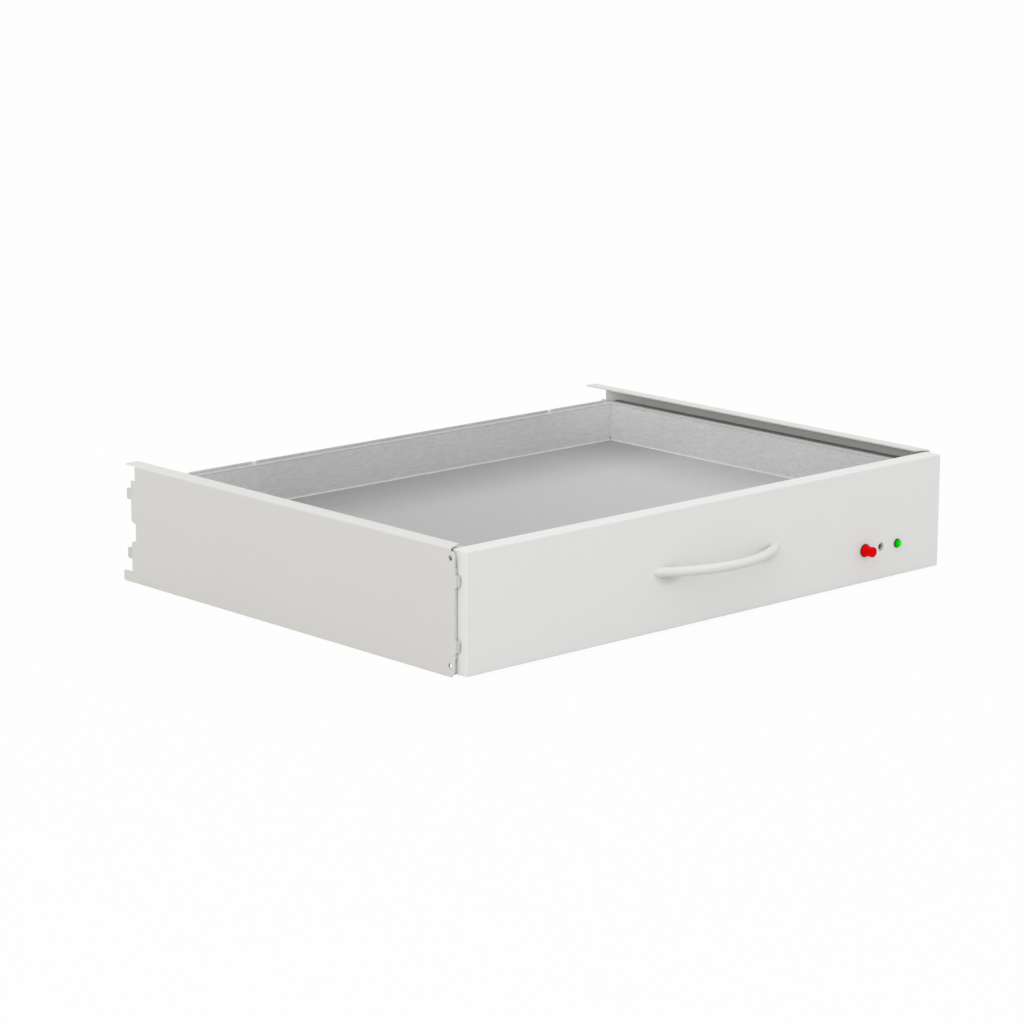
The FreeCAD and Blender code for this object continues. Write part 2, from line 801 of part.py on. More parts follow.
def inner_rail_screws():
    """Screws from inside the inner members into the casing."""
    shapes = []
    seat = number("casing_x + slide_sheet")
    height = number("slide_z")
    length = number("rail_screw_length")
    for side in SIDES:
        for place in rail_screw_places():
            shapes.append(screw("x", side * seat, number(place), height, length, -side))
    return group_feature("inner_rail_screws", shapes)


inner_rail_screws()


# Drawer casing

def ring(half_width, front, rear, band):
    """A rectangular frame seen from above: the outline and the hole inside its band."""
    outer = rectangle("-(%s)" % half_width, front, half_width, rear)
    inner = rectangle("-(%s - (%s))" % (half_width, band), "%s + (%s)" % (front, band),
                      "%s - (%s)" % (half_width, band), "%s - (%s)" % (rear, band))
    return outer, inner


CONTROL_HOLES = (
    ("knob_x", "spindle_radius + wall_hole_gap"),
    ("reset_x", "bush_radius + wall_hole_gap"),
    ("lamp_x", "lamp_body_radius + wall_hole_gap"),
)


def control_holes(growth="0"):
    """The three holes behind the controls."""
    return [circle(x, "control_z", "%s + %s" % (radius, growth)) for x, radius in CONTROL_HOLES]


def panel_screw_points():
    """Places (X, Z) of the screws that hold the front panel."""
    return [(to_side(side, "panel_screw_x"), height)
            for side in SIDES for height in ("panel_screw_low_z", "panel_screw_high_z")]


def base_screw_points():
    """Places (X, Y) of the screws that hold the base plate."""
    inset = "base_screw_inset"
    middle = "(casing_front_y + casing_rear_y) / 2"
    rows = ("casing_front_y + 4 * " + inset, middle, "casing_rear_y - 4 * " + inset)
    return [(to_side(side, "(casing_x - %s)" % inset), row) for side in SIDES for row in rows]


def casing():
    """Folded walls round the tray, with a flange in at the top and a return at the bottom."""
    body = kept_body("casing")
    outline = ("casing_x", "casing_front_y", "casing_rear_y")
    pad(body, "z", "return_z", "casing_top_z - return_z", *ring(*outline, "casing_sheet"))
    pad(body, "z", "return_z", "casing_sheet", *ring(*outline, "casing_return"))
    flange_hole = rectangle("-(tray_half_width + 2 * tray_sheet)", "tray_front_y - 2 * tray_sheet",
                            "tray_half_width + 2 * tray_sheet", "tray_rear_y + 2 * tray_sheet")
    flange = rectangle("-casing_x", "casing_front_y", "casing_x", "casing_rear_y")
    pad(body, "z", "casing_top_z - casing_sheet", "casing_sheet", flange, flange_hole)
    screw_hole = "screw_radius + screw_hole_gap"
    front_holes = control_holes() + [circle(x, z, screw_hole) for x, z in panel_screw_points()]
    pocket(body, "y", "casing_front_y", "casing_sheet", *front_holes)
    pocket(body, "y", "casing_inner_rear_y", "casing_sheet", casing_back_outline())
    rail_holes = [circle(place, "slide_z", screw_hole) for place in rail_screw_places()]
    pocket(body, "x", "casing_inner_x", "casing_sheet", *rail_holes)
    pocket(body, "x", "-casing_x", "casing_sheet", *rail_holes)
    base_holes = [circle(x, y, screw_hole) for x, y in base_screw_points()]
    pocket(body, "z", "return_z", "casing_sheet", *base_holes)
    return body


def casing_back_outline():
    """The rear wall's outline, between the side walls, the return and the flange."""
    return rectangle("-casing_inner_x", "return_z + casing_sheet", "casing_inner_x",
                     "casing_top_z - casing_sheet")


def casing_back():
    """Rear wall, welded into the casing, with the hole for the inlet gland."""
    body = kept_body("casing_back")
    inlet_hole = circle("inlet_x", "inlet_z", "gland_thread_radius + screw_hole_gap")
    pad(body, "y", "casing_inner_rear_y", "casing_sheet", casing_back_outline(), inlet_hole)
    return body


def base_plate():
    body = kept_body("base_plate")
    plate = rectangle("-casing_x", "casing_front_y", "casing_x", "casing_rear_y")
    holes = [circle(x, y, "screw_radius + screw_hole_gap") for x, y in base_screw_points()]
    pad(body, "z", "casing_bottom_z", "casing_sheet", plate, *holes)
    return body


def base_plate_screws():
    seat = number("casing_bottom_z")
    length = number("base_screw_length")
    return group_feature("base_plate_screws",
                         [screw("z", number(x), number(y), seat, length) for x, y in base_screw_points()])


def service_bulkhead():
    """Upright sheet that keeps the insulation away from the controls."""
    body = kept_body("service_bulkhead")
    sheet = rectangle("-return_x", "return_z", "return_x", "insulation_top_z")
    duct_hole = circle("inlet_x", "inlet_z", "duct_radius + screw_hole_gap")
    pad(body, "y", "bulkhead_y", "casing_sheet", sheet, duct_hole)
    return body


def floor_insulation():
    """Mineral wool under the heater, with a channel for the cable duct."""
    body = kept_body("floor_insulation")
    front = "bulkhead_y + casing_sheet + insulation_gap"
    rear = "casing_rear_y - casing_return - insulation_gap"
    side_x = "return_x - insulation_gap"
    mat = rectangle("-(%s)" % side_x, front, side_x, rear)
    pad(body, "z", "return_z", "insulation_top_z - return_z", mat)
    channel_cut = circle("inlet_x", "inlet_z", "duct_radius + insulation_gap / 2")
    pocket(body, "y", front, "(%s) - (%s)" % (rear, front), channel_cut)
    return body


def wall_insulation():
    """Mineral wool ring between the tray's walls and the casing."""
    body = kept_body("wall_insulation")
    outer_x = "casing_x - rail_screw_length"
    front = "service_front_y + screw_head_depth + 2 * insulation_gap"
    rear = "casing_inner_rear_y - gland_nut_depth - insulation_gap"
    tray_wall = "tray_sheet + insulation_gap"
    outer = rectangle("-(%s)" % outer_x, front, outer_x, rear)
    inner = rectangle("-(tray_half_width + %s)" % tray_wall, "tray_front_y - (%s)" % tray_wall,
                      "tray_half_width + %s" % tray_wall, "tray_rear_y + %s" % tray_wall)
    top = "casing_top_z - casing_sheet - insulation_gap"
    pad(body, "z", "insulation_top_z", "%s - insulation_top_z" % top, outer, inner)
    return body


casing()
casing_back()
base_plate()
base_plate_screws()
service_bulkhead()
floor_insulation()
wall_insulation()


# Tray

def tray():
    """Folded stainless pan: stepped rim with a turned down lip, and an upstand along the back."""
    body = kept_body("tray")
    shell = rectangle("-(tray_half_width + tray_sheet)", "tray_front_y - tray_sheet",
                      "tray_half_width + tray_sheet", "tray_rear_y + tray_sheet")
    inside = rectangle("-tray_half_width", "tray_front_y", "tray_half_width", "tray_rear_y")
    pad(body, "z", "tray_under_z", "tray_rim_z - tray_under_z", shell)
    pocket(body, "z", "tray_floor_z", "tray_rim_z - tray_floor_z", inside)
    round_edges(body, "tray_floor_radius", lower_edges(body, "tray_floor_z", "0"))
    round_edges(body, "tray_floor_radius + tray_sheet", lower_edges(body, "tray_under_z", "tray_sheet"))
    rim = rectangle("-rim_x", "rim_front_y", "rim_x", "rim_rear_y")
    pad(body, "z", "tray_rim_z - tray_sheet", "tray_sheet", rim, inside)
    lip_inner = rectangle("-(rim_x - tray_sheet)", "rim_front_y + tray_sheet", "rim_x - tray_sheet",
                          "rim_rear_y - tray_sheet")
    pad(body, "z", "tray_rim_z - rim_lip", "rim_lip", rim, lip_inner)
    back_edge = rectangle("-(rim_x - rim_corner_cut)", "rim_rear_y - tray_sheet", "rim_x - rim_corner_cut",
                          "rim_rear_y")
    pad(body, "z", "tray_rim_z", "upstand", back_edge)
    for side in SIDES:
        notch = rectangle(to_side(side, "(notch_x - notch_width / 2)"), "rim_rear_y - 2 * tray_sheet",
                          to_side(side, "(notch_x + notch_width / 2)"), "rim_rear_y + overrun")
        pocket(body, "z", "tray_rim_z", "upstand", notch)
    corner_x = "(tray_half_width + tray_sheet / 2)"
    corner_rows = ("tray_front_y - tray_sheet / 2", "tray_rear_y + tray_sheet / 2")
    reliefs = [circle(to_side(side, corner_x), row, "corner_relief_radius")
               for side in SIDES for row in corner_rows]
    pocket(body, "z", "tray_under_z", "tray_sheet + corner_relief_height", *reliefs)
    return body


def lower_edges(body, height, growth):
    """The four edges of the pan's floor at a height; growth is how far the walls stand out there."""
    middle_y = "(tray_front_y + tray_rear_y) / 2"
    names = []
    for side in SIDES:
        side_x = to_side(side, "(tray_half_width + %s)" % growth)
        names += edge_names(body, "y", x=side_x, z=height, y=middle_y)
    names += edge_names(body, "x", y="tray_front_y - %s" % growth, z=height, x="0")
    names += edge_names(body, "x", y="tray_rear_y + %s" % growth, z=height, x="0")
    return names


def rim_gasket():
    """Soft strip between the tray's rim and the casing."""
    body = kept_body("rim_gasket")
    inner_x = "tray_half_width + tray_sheet + gasket_gap"
    inner_front = "tray_front_y - tray_sheet - gasket_gap"
    inner_rear = "tray_rear_y + tray_sheet + gasket_gap"
    outer = rectangle("-(%s + gasket_width)" % inner_x, "%s - gasket_width" % inner_front,
                      "%s + gasket_width" % inner_x, "%s + gasket_width" % inner_rear)
    inner = rectangle("-(%s)" % inner_x, inner_front, inner_x, inner_rear)
    pad(body, "z", "casing_top_z", "tray_rim_z - tray_sheet - casing_top_z", outer, inner)
    return body


tray()
rim_gasket()


# Heating: spreader plate, serpentine element, clamp bars and reflector, all under the tray's floor

def heat_spreader():
    body = kept_body("heat_spreader")
    plate = rectangle("-(tray_half_width - spreader_inset)", "tray_front_y + spreader_inset",
                      "tray_half_width - spreader_inset", "tray_rear_y - spreader_inset")
    pad(body, "z", "spreader_low_z", "spreader_sheet", plate)
    return body


def element_x(run):
    """X of one straight run of the heating element."""
    return (run - (number("element_runs") - 1) / 2) * number("element_pitch")


def heating_element():
    """One tube in parallel runs joined by half turns, both ends at the front."""
    runs = int(number("element_runs"))
    height = number("element_z")
    radius = number("element_pitch") / 2
    front_end = number("element_end_y")
    front_turn = number("element_turn_y")
    rear_turn = number("element_rear_y")
    edges = []
    for run in range(runs):
        x = element_x(run)
        start = front_end if run in (0, runs - 1) else front_turn
        upward = run % 2 == 0
        ends = [FreeCAD.Vector(x, start, height), FreeCAD.Vector(x, rear_turn, height)]
        if not upward:
            ends.reverse()
        edges.append(Part.LineSegment(*ends).toShape())
        if run < runs - 1:
            turn_y = rear_turn if upward else front_turn
            bulge = radius if upward else -radius
            begin = FreeCAD.Vector(x, turn_y, height)
            top = FreeCAD.Vector(x + radius, turn_y + bulge, height)
            finish = FreeCAD.Vector(x + 2 * radius, turn_y, height)
            edges.append(Part.Arc(begin, top, finish).toShape())
    path = Part.Wire(edges)
    start = FreeCAD.Vector(element_x(0), front_end, height)
    section = Part.Wire(Part.makeCircle(number("element_diameter") / 2, start, FreeCAD.Vector(0, 1, 0)))
    return kept_feature("heating_element", path.makePipeShell([section], True, False))


def clamp_row_places():
    rows = int(number("clamp_rows"))
    first = number("element_turn_y")
    step = (number("element_rear_y") - first) / (rows - 1)
    return [first + step * row for row in range(rows)]


def element_clamps():
    """Bars under the element, each held by studs that stand between its runs."""
    width = number("clamp_width")
    sheet = number("clamp_sheet")
    top = number("clamp_top_z")
    reach = element_x(int(number("element_runs")) - 1) + number("clamp_overhang")
    shapes = []
    for place in clamp_row_places():
        corner = FreeCAD.Vector(-reach, place - width / 2, top - sheet)
        bar = Part.makeBox(2 * reach, width, sheet, corner)
        for run in range(int(number("element_runs")) - 1):
            stud_x = element_x(run) + number("element_pitch") / 2
            stud_length = number("spreader_low_z") - top + sheet
            stud = rod("z", stud_x, place, top - sheet, number("clamp_stud_radius"), stud_length)
            bar = bar.fuse(stud)
        shapes.append(bar.removeSplitter())
    return group_feature("element_clamps", shapes)


def reflector_plate():
    body = kept_body("reflector_plate")
    plate = rectangle("-(tray_half_width - reflector_inset)", "bulkhead_y + reflector_inset",
                      "tray_half_width - reflector_inset", "tray_rear_y - reflector_inset")
    pad(body, "z", "insulation_top_z", "reflector_sheet", plate)
    return body


heat_spreader()
heating_element()
element_clamps()
reflector_plate()


# Front panel

def front_panel():
    """Shallow box of sheet, open to the back, with soft front edges."""
    body = kept_body("front_panel")
    outline = rectangle("-front_end_x", "front_lift", "front_end_x", "front_top_z")
    pad(body, "y", "0", "front_depth", outline)
    corners = []
    for side in SIDES:
        for height in ("front_lift", "front_top_z"):
            corners += edge_names(body, "y", x=to_side(side, "front_end_x"), z=height)
    round_edges(body, "front_corner_radius", corners)
    rims = []
    for side in SIDES:
        rims += edge_names(body, "z", x=to_side(side, "front_end_x"), y="0")
    for height in ("front_lift", "front_top_z"):
        rims += edge_names(body, "x", y="0", z=height)
    round_edges(body, "front_edge_radius", rims)
    side_x = "front_end_x - front_sheet"
    pocket(body, "y", "front_sheet", "front_depth - front_sheet",
           rectangle("-(%s)" % side_x, "front_lift + front_sheet", side_x, "front_top_z - front_sheet"))
    holes = [
        circle("knob_x", "control_z", "spindle_radius + wall_hole_gap"),
        circle("reset_x", "control_z", "reset_hole_radius"),
        circle("lamp_x", "control_z", "lamp_body_radius + screw_hole_gap"),
    ]
    screw_hole = "screw_radius + screw_hole_gap"
    holes += [circle(to_side(side, "handle_screw_x"), "handle_z", screw_hole) for side in SIDES]
    pocket(body, "y", "0", "front_sheet", *holes)
    return body


def front_liner():
    """Sheet that closes the back of the front panel, with weld nuts for its screws."""
    body = kept_body("front_liner")
    reach = "front_end_x - front_sheet - liner_gap"
    sheet = rectangle("-(%s)" % reach, "front_lift + front_sheet + liner_gap", reach,
                      "front_top_z - front_sheet - liner_gap")
    pad(body, "y", "liner_y", "liner_sheet", sheet)
    nuts = [circle(x, z, "weld_nut_radius") for x, z in panel_screw_points()]
    pad(body, "y", "liner_y - weld_nut_depth", "weld_nut_depth", *nuts)
    threads = [circle(x, z, "screw_radius + spindle_fit") for x, z in panel_screw_points()]
    pocket(body, "y", "liner_y - weld_nut_depth", "weld_nut_depth + liner_sheet", *threads)
    pocket(body, "y", "liner_y", "liner_sheet", *control_holes())
    return body


def front_insulation():
    """Mineral wool in the front panel, cut out round the controls, the nuts and the handle's screws."""
    body = kept_body("front_insulation")
    reach = "front_end_x - front_sheet - insulation_gap"
    start = "front_sheet + insulation_gap"
    filling = rectangle("-(%s)" % reach, "front_lift + front_sheet + insulation_gap", reach,
                        "front_top_z - front_sheet - insulation_gap")
    holes = [circle(x, "control_z", "control_cutout_radius") for x in ("knob_x", "reset_x", "lamp_x")]
    holes += [circle(x, z, "weld_nut_radius + insulation_gap") for x, z in panel_screw_points()]
    holes += [circle(to_side(side, "handle_screw_x"), "handle_z", "screw_head_radius + insulation_gap")
              for side in SIDES]
    pad(body, "y", start, "liner_y - insulation_gap - (%s)" % start, filling, *holes)
    return body


def front_panel_screws():
    seat = number("service_front_y")
    length = number("panel_screw_length")
    screws = [screw("y", number(x), seat, number(z), length, -1) for x, z in panel_screw_points()]
    return group_feature("front_panel_screws", screws)


def handle():
    """Round bar bent to an arc; both ends are cut flush with the front panel."""
    bar = doc.addObject("Part::Torus", "handle_ring")
    bind(bar, "Radius1", "handle_bend_radius")
    bind(bar, "Radius2", "handle_tube_radius")
    bind(bar, "Placement.Base.y", "handle_bend_radius - handle_bow")
    bind(bar, "Placement.Base.z", "handle_z")
    behind = doc.addObject("Part::Box", "handle_trim")
    bind(behind, "Length", "4 * handle_bend_radius")
    bind(behind, "Width", "4 * handle_bend_radius")
    bind(behind, "Height", "4 * handle_tube_radius")
    bind(behind, "Placement.Base.x", "-2 * handle_bend_radius")
    bind(behind, "Placement.Base.z", "handle_z - 2 * handle_tube_radius")
    tools = [behind]
    for side in SIDES:
        bore = doc.addObject("Part::Cylinder", "handle_bore")
        bind(bore, "Radius", "screw_radius + spindle_fit")
        bind(bore, "Height", "handle_screw_length")
        bind(bore, "Placement.Base.x", to_side(side, "handle_screw_x"))
        bind(bore, "Placement.Base.z", "handle_z")
        lying = FreeCAD.Rotation(FreeCAD.Vector(1, 0, 0), 90)
        bore.Placement = FreeCAD.Placement(bore.Placement.Base, lying)
        tools.append(bore)
    trim = doc.addObject("Part::MultiFuse", "handle_tools")
    trim.Shapes = tools
    cut = doc.addObject("Part::Cut", "handle")
    cut.Base = bar
    cut.Tool = trim
    return keep(cut, "handle")


def handle_screws():
    seat = number("front_sheet")
    height = number("handle_z")
    length = number("handle_screw_length")
    places = [side * number("handle_screw_x") for side in SIDES]
    return group_feature("handle_screws", [screw("y", x, seat, height, length, -1) for x in places])


front_panel()
front_liner()
front_insulation()
front_panel_screws()
handle()
handle_screws()


# Controls: thermostat with its knob, overheat cut-out with its reset button, pilot lamp

def box_body(name, middle_x, width, front, depth, middle_z, height):
    """A block seen from the front, from a depth backwards."""
    body = kept_body(name)
    outline = rectangle("%s - %s / 2" % (middle_x, width), "%s - %s / 2" % (middle_z, height),
                        "%s + %s / 2" % (middle_x, width), "%s + %s / 2" % (middle_z, height))
    pad(body, "y", front, depth, outline)
    return body


def tube_profile(start, end, inner, outer):
    """Section of a tube between two places along Y."""
    return ((start, inner), (start, outer), (end, outer), (end, inner))


def control_knob():
    """Knob with a skirt, a waist and a wider tip, and a bore for the spindle."""
    tip = "knob_base_y - knob_length"
    bore_end = "knob_base_y - knob_bore_depth"
    bore = "spindle_radius + spindle_fit"
    profile = (
        ("knob_base_y", bore),
        ("knob_base_y", "knob_skirt_radius"),
        ("knob_base_y - knob_skirt_depth", "knob_skirt_radius"),
        ("knob_base_y - knob_skirt_depth", "knob_waist_radius"),
        ("%s + knob_tip_round" % tip, "knob_tip_radius"),
        (tip, "knob_tip_radius - knob_tip_round"),
        (tip, "0"),
        (bore_end, "0"),
        (bore_end, bore),
    )
    return turned_part("control_knob", "knob_x", "control_z", profile)


def thermostat_bracket():
    body = kept_body("thermostat_bracket")
    low = "control_z - thermostat_height / 2 - bracket_margin"
    high = "control_z + thermostat_height / 2 + bracket_margin"
    plate = rectangle("knob_x - thermostat_width / 2 - bracket_margin", low,
                      "reset_x + limiter_width / 2 + bracket_margin", high)
    holes = [circle("knob_x", "control_z", "spindle_radius + wall_hole_gap"),
             circle("reset_x", "control_z", "bush_radius + screw_hole_gap")]
    pad(body, "y", "service_front_y", "bracket_sheet", plate, *holes)
    return body


def lamp_lens():
    """Flange and spherical cap of the pilot lamp."""
    radius = number("lens_radius")
    back = -number("lamp_gasket_depth")
    face = back - number("lens_flange_depth")
    cap_height = number("lens_height - lens_flange_depth")
    sphere_radius = (radius ** 2 + cap_height ** 2) / (2 * cap_height)
    x = number("lamp_x")
    z = number("control_z")
    forward = FreeCAD.Vector(0, -1, 0)
    flange = Part.makeCylinder(radius, back - face, FreeCAD.Vector(x, back, z), forward)
    sphere = Part.makeSphere(sphere_radius, FreeCAD.Vector(x, face - cap_height + sphere_radius, z))
    front_half = Part.makeCylinder(radius, 2 * cap_height, FreeCAD.Vector(x, face, z), forward)
    return kept_feature("lamp_lens", flange.fuse(sphere.common(front_half)).removeSplitter())


def hex_prism(x, y, z, width, depth):
    """A hexagonal prism from a point along +Y, its width measured across flats."""
    corner_radius = width / math.sqrt(3)
    corners = []
    for step in range(HEXAGON_SIDES):
        angle = step * 2 * math.pi / HEXAGON_SIDES
        across = corner_radius * math.cos(angle)
        up = corner_radius * math.sin(angle)
        corners.append(FreeCAD.Vector(x + across, y, z + up))
    return Part.Face(Part.makePolygon(corners + corners[:1])).extrude(FreeCAD.Vector(0, depth, 0))


def ring_nut(name, x, front, z, width, depth, bore):
    """A flat hexagon nut on an axis along Y."""
    place = [number(text) for text in (x, front, z)]
    depth = number(depth)
    hexagon = hex_prism(*place, number(width), depth)
    return kept_feature(name, hexagon.cut(rod("y", *place, number(bore), depth)))


def path_tube(points, radius, bend):
    """A round lead along straight runs with bends between them; points are vectors in millimetres."""
    edges = []
    start = points[0]
    for corner, following in zip(points[1:-1], points[2:]):
        incoming = (corner - start).normalize()
        outgoing = (following - corner).normalize()
        setback = bend * math.tan(incoming.getAngle(outgoing) / 2)
        begin = corner - incoming * setback
        finish = corner + outgoing * setback
        inward = (outgoing - incoming).normalize()
        centre = corner + inward * math.hypot(bend, setback)
        edges.append(Part.LineSegment(start, begin).toShape())
        edges.append(Part.Arc(begin, centre - inward * bend, finish).toShape())
        start = finish
    edges.append(Part.LineSegment(start, points[-1]).toShape())
    section = Part.Wire(Part.makeCircle(radius, points[0], points[1] - points[0]))
    return Part.Wire(edges).makePipeShell([section], True, False)


def vectors(*rows):
    """Points from formulas (X, Y, Z)."""
    return [FreeCAD.Vector(*(number(text) for text in row)) for row in rows]


def heat_sensor():
    """Bulb against the tray's underside and its capillary down to the thermostat."""
    height = "(tray_under_z - sensor_radius)"
    bulb_end = "(knob_x - thermostat_width)"
    bulb = rod("x", number("%s - sensor_length" % bulb_end), number("sensor_y"), number(height),
               number("sensor_radius"), number("sensor_length"))
    run = vectors(
        (bulb_end, "sensor_y", height),
        ("knob_x", "sensor_y", height),
        ("knob_x", "sensor_y", "control_z + thermostat_height / 2"),
    )
    capillary = path_tube(run, number("capillary_radius"), number("lead_bend_radius"))
    return kept_feature("heat_sensor", bulb.fuse(capillary))


turned_part("spindle_seal", "knob_x", "control_z",
            tube_profile("-seal_depth", "0", "spindle_radius + wall_hole_gap", "seal_radius"))
control_knob()
turned_part("thermostat_spindle", "knob_x", "control_z",
            tube_profile("knob_base_y - knob_bore_depth", "thermostat_front_y + spindle_engagement", "0",
                         "spindle_radius"))
thermostat = box_body("thermostat_body", "knob_x", "thermostat_width", "thermostat_front_y",
                      "thermostat_depth", "control_z", "thermostat_height")
pocket(thermostat, "y", "thermostat_front_y", "spindle_engagement + insulation_gap",
       circle("knob_x", "control_z", "spindle_radius + spindle_fit"))
thermostat_bracket()
heat_sensor()
limiter = box_body("limiter_body", "reset_x", "limiter_width", "thermostat_front_y", "limiter_depth",
                   "control_z", "limiter_height")
pocket(limiter, "y", "thermostat_front_y", "2 * button_travel + insulation_gap",
       circle("reset_x", "control_z", "bush_radius - bush_wall"))
turned_part("reset_bush", "reset_x", "control_z",
            tube_profile("bush_recess", "thermostat_front_y", "bush_radius - bush_wall", "bush_radius"))
turned_part("reset_button", "reset_x", "control_z",
            tube_profile("button_recess", "thermostat_front_y + button_travel", "0", "button_radius"))
lamp_lens()
turned_part("lamp_gasket", "lamp_x", "control_z",
            tube_profile("-lamp_gasket_depth", "0", "lamp_body_radius + screw_hole_gap",
                         "lamp_gasket_radius"))
turned_part("lamp_body", "lamp_x", "control_z",
            tube_profile("-lamp_gasket_depth", "lamp_body_length - lamp_gasket_depth", "lamp_body_bore",
                         "lamp_body_radius"))
ring_nut("lamp_nut", "lamp_x", "front_sheet", "control_z", "lamp_nut_width", "lamp_nut_depth",
         "lamp_body_radius + spindle_fit")


# Supply: inlet gland at the back, duct under the tray, terminal block, earth stud and leads

def inlet_gland():
    """Cable gland: thread through the wall, hexagon against it and a domed cap."""
    x, wall, z = (number(text) for text in ("inlet_x", "casing_rear_y", "inlet_z"))
    thread_length = number("gland_thread_length")
    hex_depth = number("gland_hex_depth")
    cap_depth = number("gland_cap_depth")
    cap_radius = number("gland_cap_radius")
    thread = rod("y", x, wall - thread_length, z, number("gland_thread_radius"), thread_length)
    hexagon = hex_prism(x, wall, z, number("gland_hex_width"), hex_depth)
    cap_start = FreeCAD.Vector(x, wall + hex_depth, z)
    cap = Part.makeCone(cap_radius, (cap_radius + number("gland_bore_radius")) / 2, cap_depth, cap_start,
                        FreeCAD.Vector(0, 1, 0))
    whole = thread.fuse([hexagon, cap])
    whole_length = thread_length + hex_depth + cap_depth
    bore = rod("y", x, wall - thread_length, z, number("gland_bore_radius"), whole_length)
    return kept_feature("inlet_gland", whole.cut(bore).removeSplitter())


def terminal_block():
    """Block on the base plate with a screw well over each pole."""
    body = kept_body("terminal_block")
    outline = rectangle("block_x - block_length / 2", "block_y - block_width / 2",
                        "block_x + block_length / 2", "block_y + block_width / 2")
    pad(body, "z", "return_z", "block_height", outline)
    wells = [circle(pole, "block_y", "screw_head_radius") for pole in pole_places()]
    pocket(body, "z", "return_z + block_height / 2", "block_height / 2", *wells)
    return body


def pole_places():
    """X of each pole of the terminal block."""
    poles = int(number("block_poles"))
    return ["block_x + (%d) * block_length / block_poles" % (pole - poles // 2) for pole in range(poles)]


def earth_stud():
    """Stud on the base plate and its nut."""
    place = [number(text) for text in ("earth_x", "block_y", "return_z")]
    stud = rod("z", *place, number("earth_stud_radius"), number("earth_stud_height"))
    depth = number("earth_nut_depth")
    nut = rod("z", *place, number("earth_nut_width") / 2, depth)
    bore = rod("z", *place, number("earth_stud_radius + spindle_fit"), depth)
    return group_feature("earth_stud", [stud, nut.cut(bore)])


def internal_leads():
    """Wires between the block, the controls, the lamp, the element and the earth stud."""
    low_z = "return_z + lead_lift"
    block_front = "block_y - block_width / 2"
    block_rear = "block_y + block_width / 2"
    front_run = "sensor_y - lead_clearance - 2 * lead_radius"
    thermostat_rear = "thermostat_front_y + thermostat_depth"
    limiter_rear = "thermostat_front_y + limiter_depth"
    rear_run = "%s + lead_bend_radius + lead_clearance" % thermostat_rear
    last_run = "%s + 2 * lead_radius + lead_clearance" % rear_run
    port = "thermostat_width / 4"
    tube_end = "(element_runs - 1) / 2 * element_pitch"
    live_height = "control_z - thermostat_height / 6"
    first_pole, middle_pole, last_pole = pole_places()
    limiter_port = "reset_x - lead_clearance"
    lamp_return_x = "lamp_x + lamp_return_share * lead_radius"
    runs = (
        # Block to thermostat, under it and up behind it
        ((last_pole, block_front, low_z), (last_pole, front_run, low_z),
         ("knob_x - " + port, front_run, low_z), ("knob_x - " + port, rear_run, low_z),
         ("knob_x - " + port, rear_run, live_height), ("knob_x - " + port, thermostat_rear, live_height)),
        # Thermostat to overheat cut-out
        (("knob_x + " + port, thermostat_rear, live_height), ("knob_x + " + port, rear_run, live_height),
         ("reset_x", rear_run, live_height), ("reset_x", limiter_rear, live_height)),
        # Overheat cut-out to the element's right end
        ((limiter_port, limiter_rear, "control_z"), (limiter_port, rear_run, "control_z"),
         (tube_end, rear_run, "element_z"), (tube_end, "element_end_y", "element_z")),
        # Block to the element's left end
        ((first_pole, block_front, low_z), (first_pole, front_run, low_z),
         ("-(%s)" % tube_end, front_run, low_z), ("-(%s)" % tube_end, front_run, "element_z"),
         ("-(%s)" % tube_end, "element_end_y", "element_z")),
        # Overheat cut-out to lamp, and lamp back to the block
        (("lamp_x - lead_radius", "lamp_body_length - lamp_gasket_depth", "control_z"),
         ("lamp_x - lead_radius", "%s + lead_bend_radius + lead_radius" % limiter_rear, "control_z"),
         ("reset_x + " + port, "%s + lead_bend_radius + lead_radius" % limiter_rear, "control_z"),
         ("reset_x + " + port, limiter_rear, "control_z")),
        ((lamp_return_x, "lamp_body_length - lamp_gasket_depth", "control_z"),
         (lamp_return_x, last_run, "control_z"), (lamp_return_x, last_run, low_z),
         (middle_pole, last_run, low_z), (middle_pole, block_rear, low_z)),
        # Block to earth stud
        ((first_pole, block_rear, low_z), (first_pole, last_run, low_z), ("earth_x", last_run, low_z),
         ("earth_x", "block_y + earth_stud_radius", low_z)),
    )
    radius = number("lead_radius")
    bend = number("lead_bend_radius")
    return group_feature("internal_leads", [path_tube(vectors(*run), radius, bend) for run in runs])


inlet_gland()
ring_nut("gland_nut", "inlet_x", "casing_inner_rear_y - gland_nut_depth", "inlet_z", "gland_hex_width",
         "gland_nut_depth", "gland_thread_radius + spindle_fit")
turned_part("cable_duct", "inlet_x", "inlet_z",
            tube_profile("bulkhead_y - overrun", "casing_rear_y - gland_thread_length - insulation_gap",
                         "duct_radius - duct_wall", "duct_radius"))
terminal_block()
earth_stud()
internal_leads()


# Check every object, then write one file per sub-part

doc.recompute()
for thing in doc.Objects:
    if "Invalid" in thing.State or "Error" in thing.State:
        raise RuntimeError("%s did not build" % thing.Name)
os.makedirs("parts", exist_ok=True)
for subpart in subparts:
    shape = subpart.Shape
    if shape.isNull() or not shape.isValid():
        raise RuntimeError("%s has no valid shape" % subpart.Label)
    shape.exportStep("parts/%s.step" % subpart.Label)
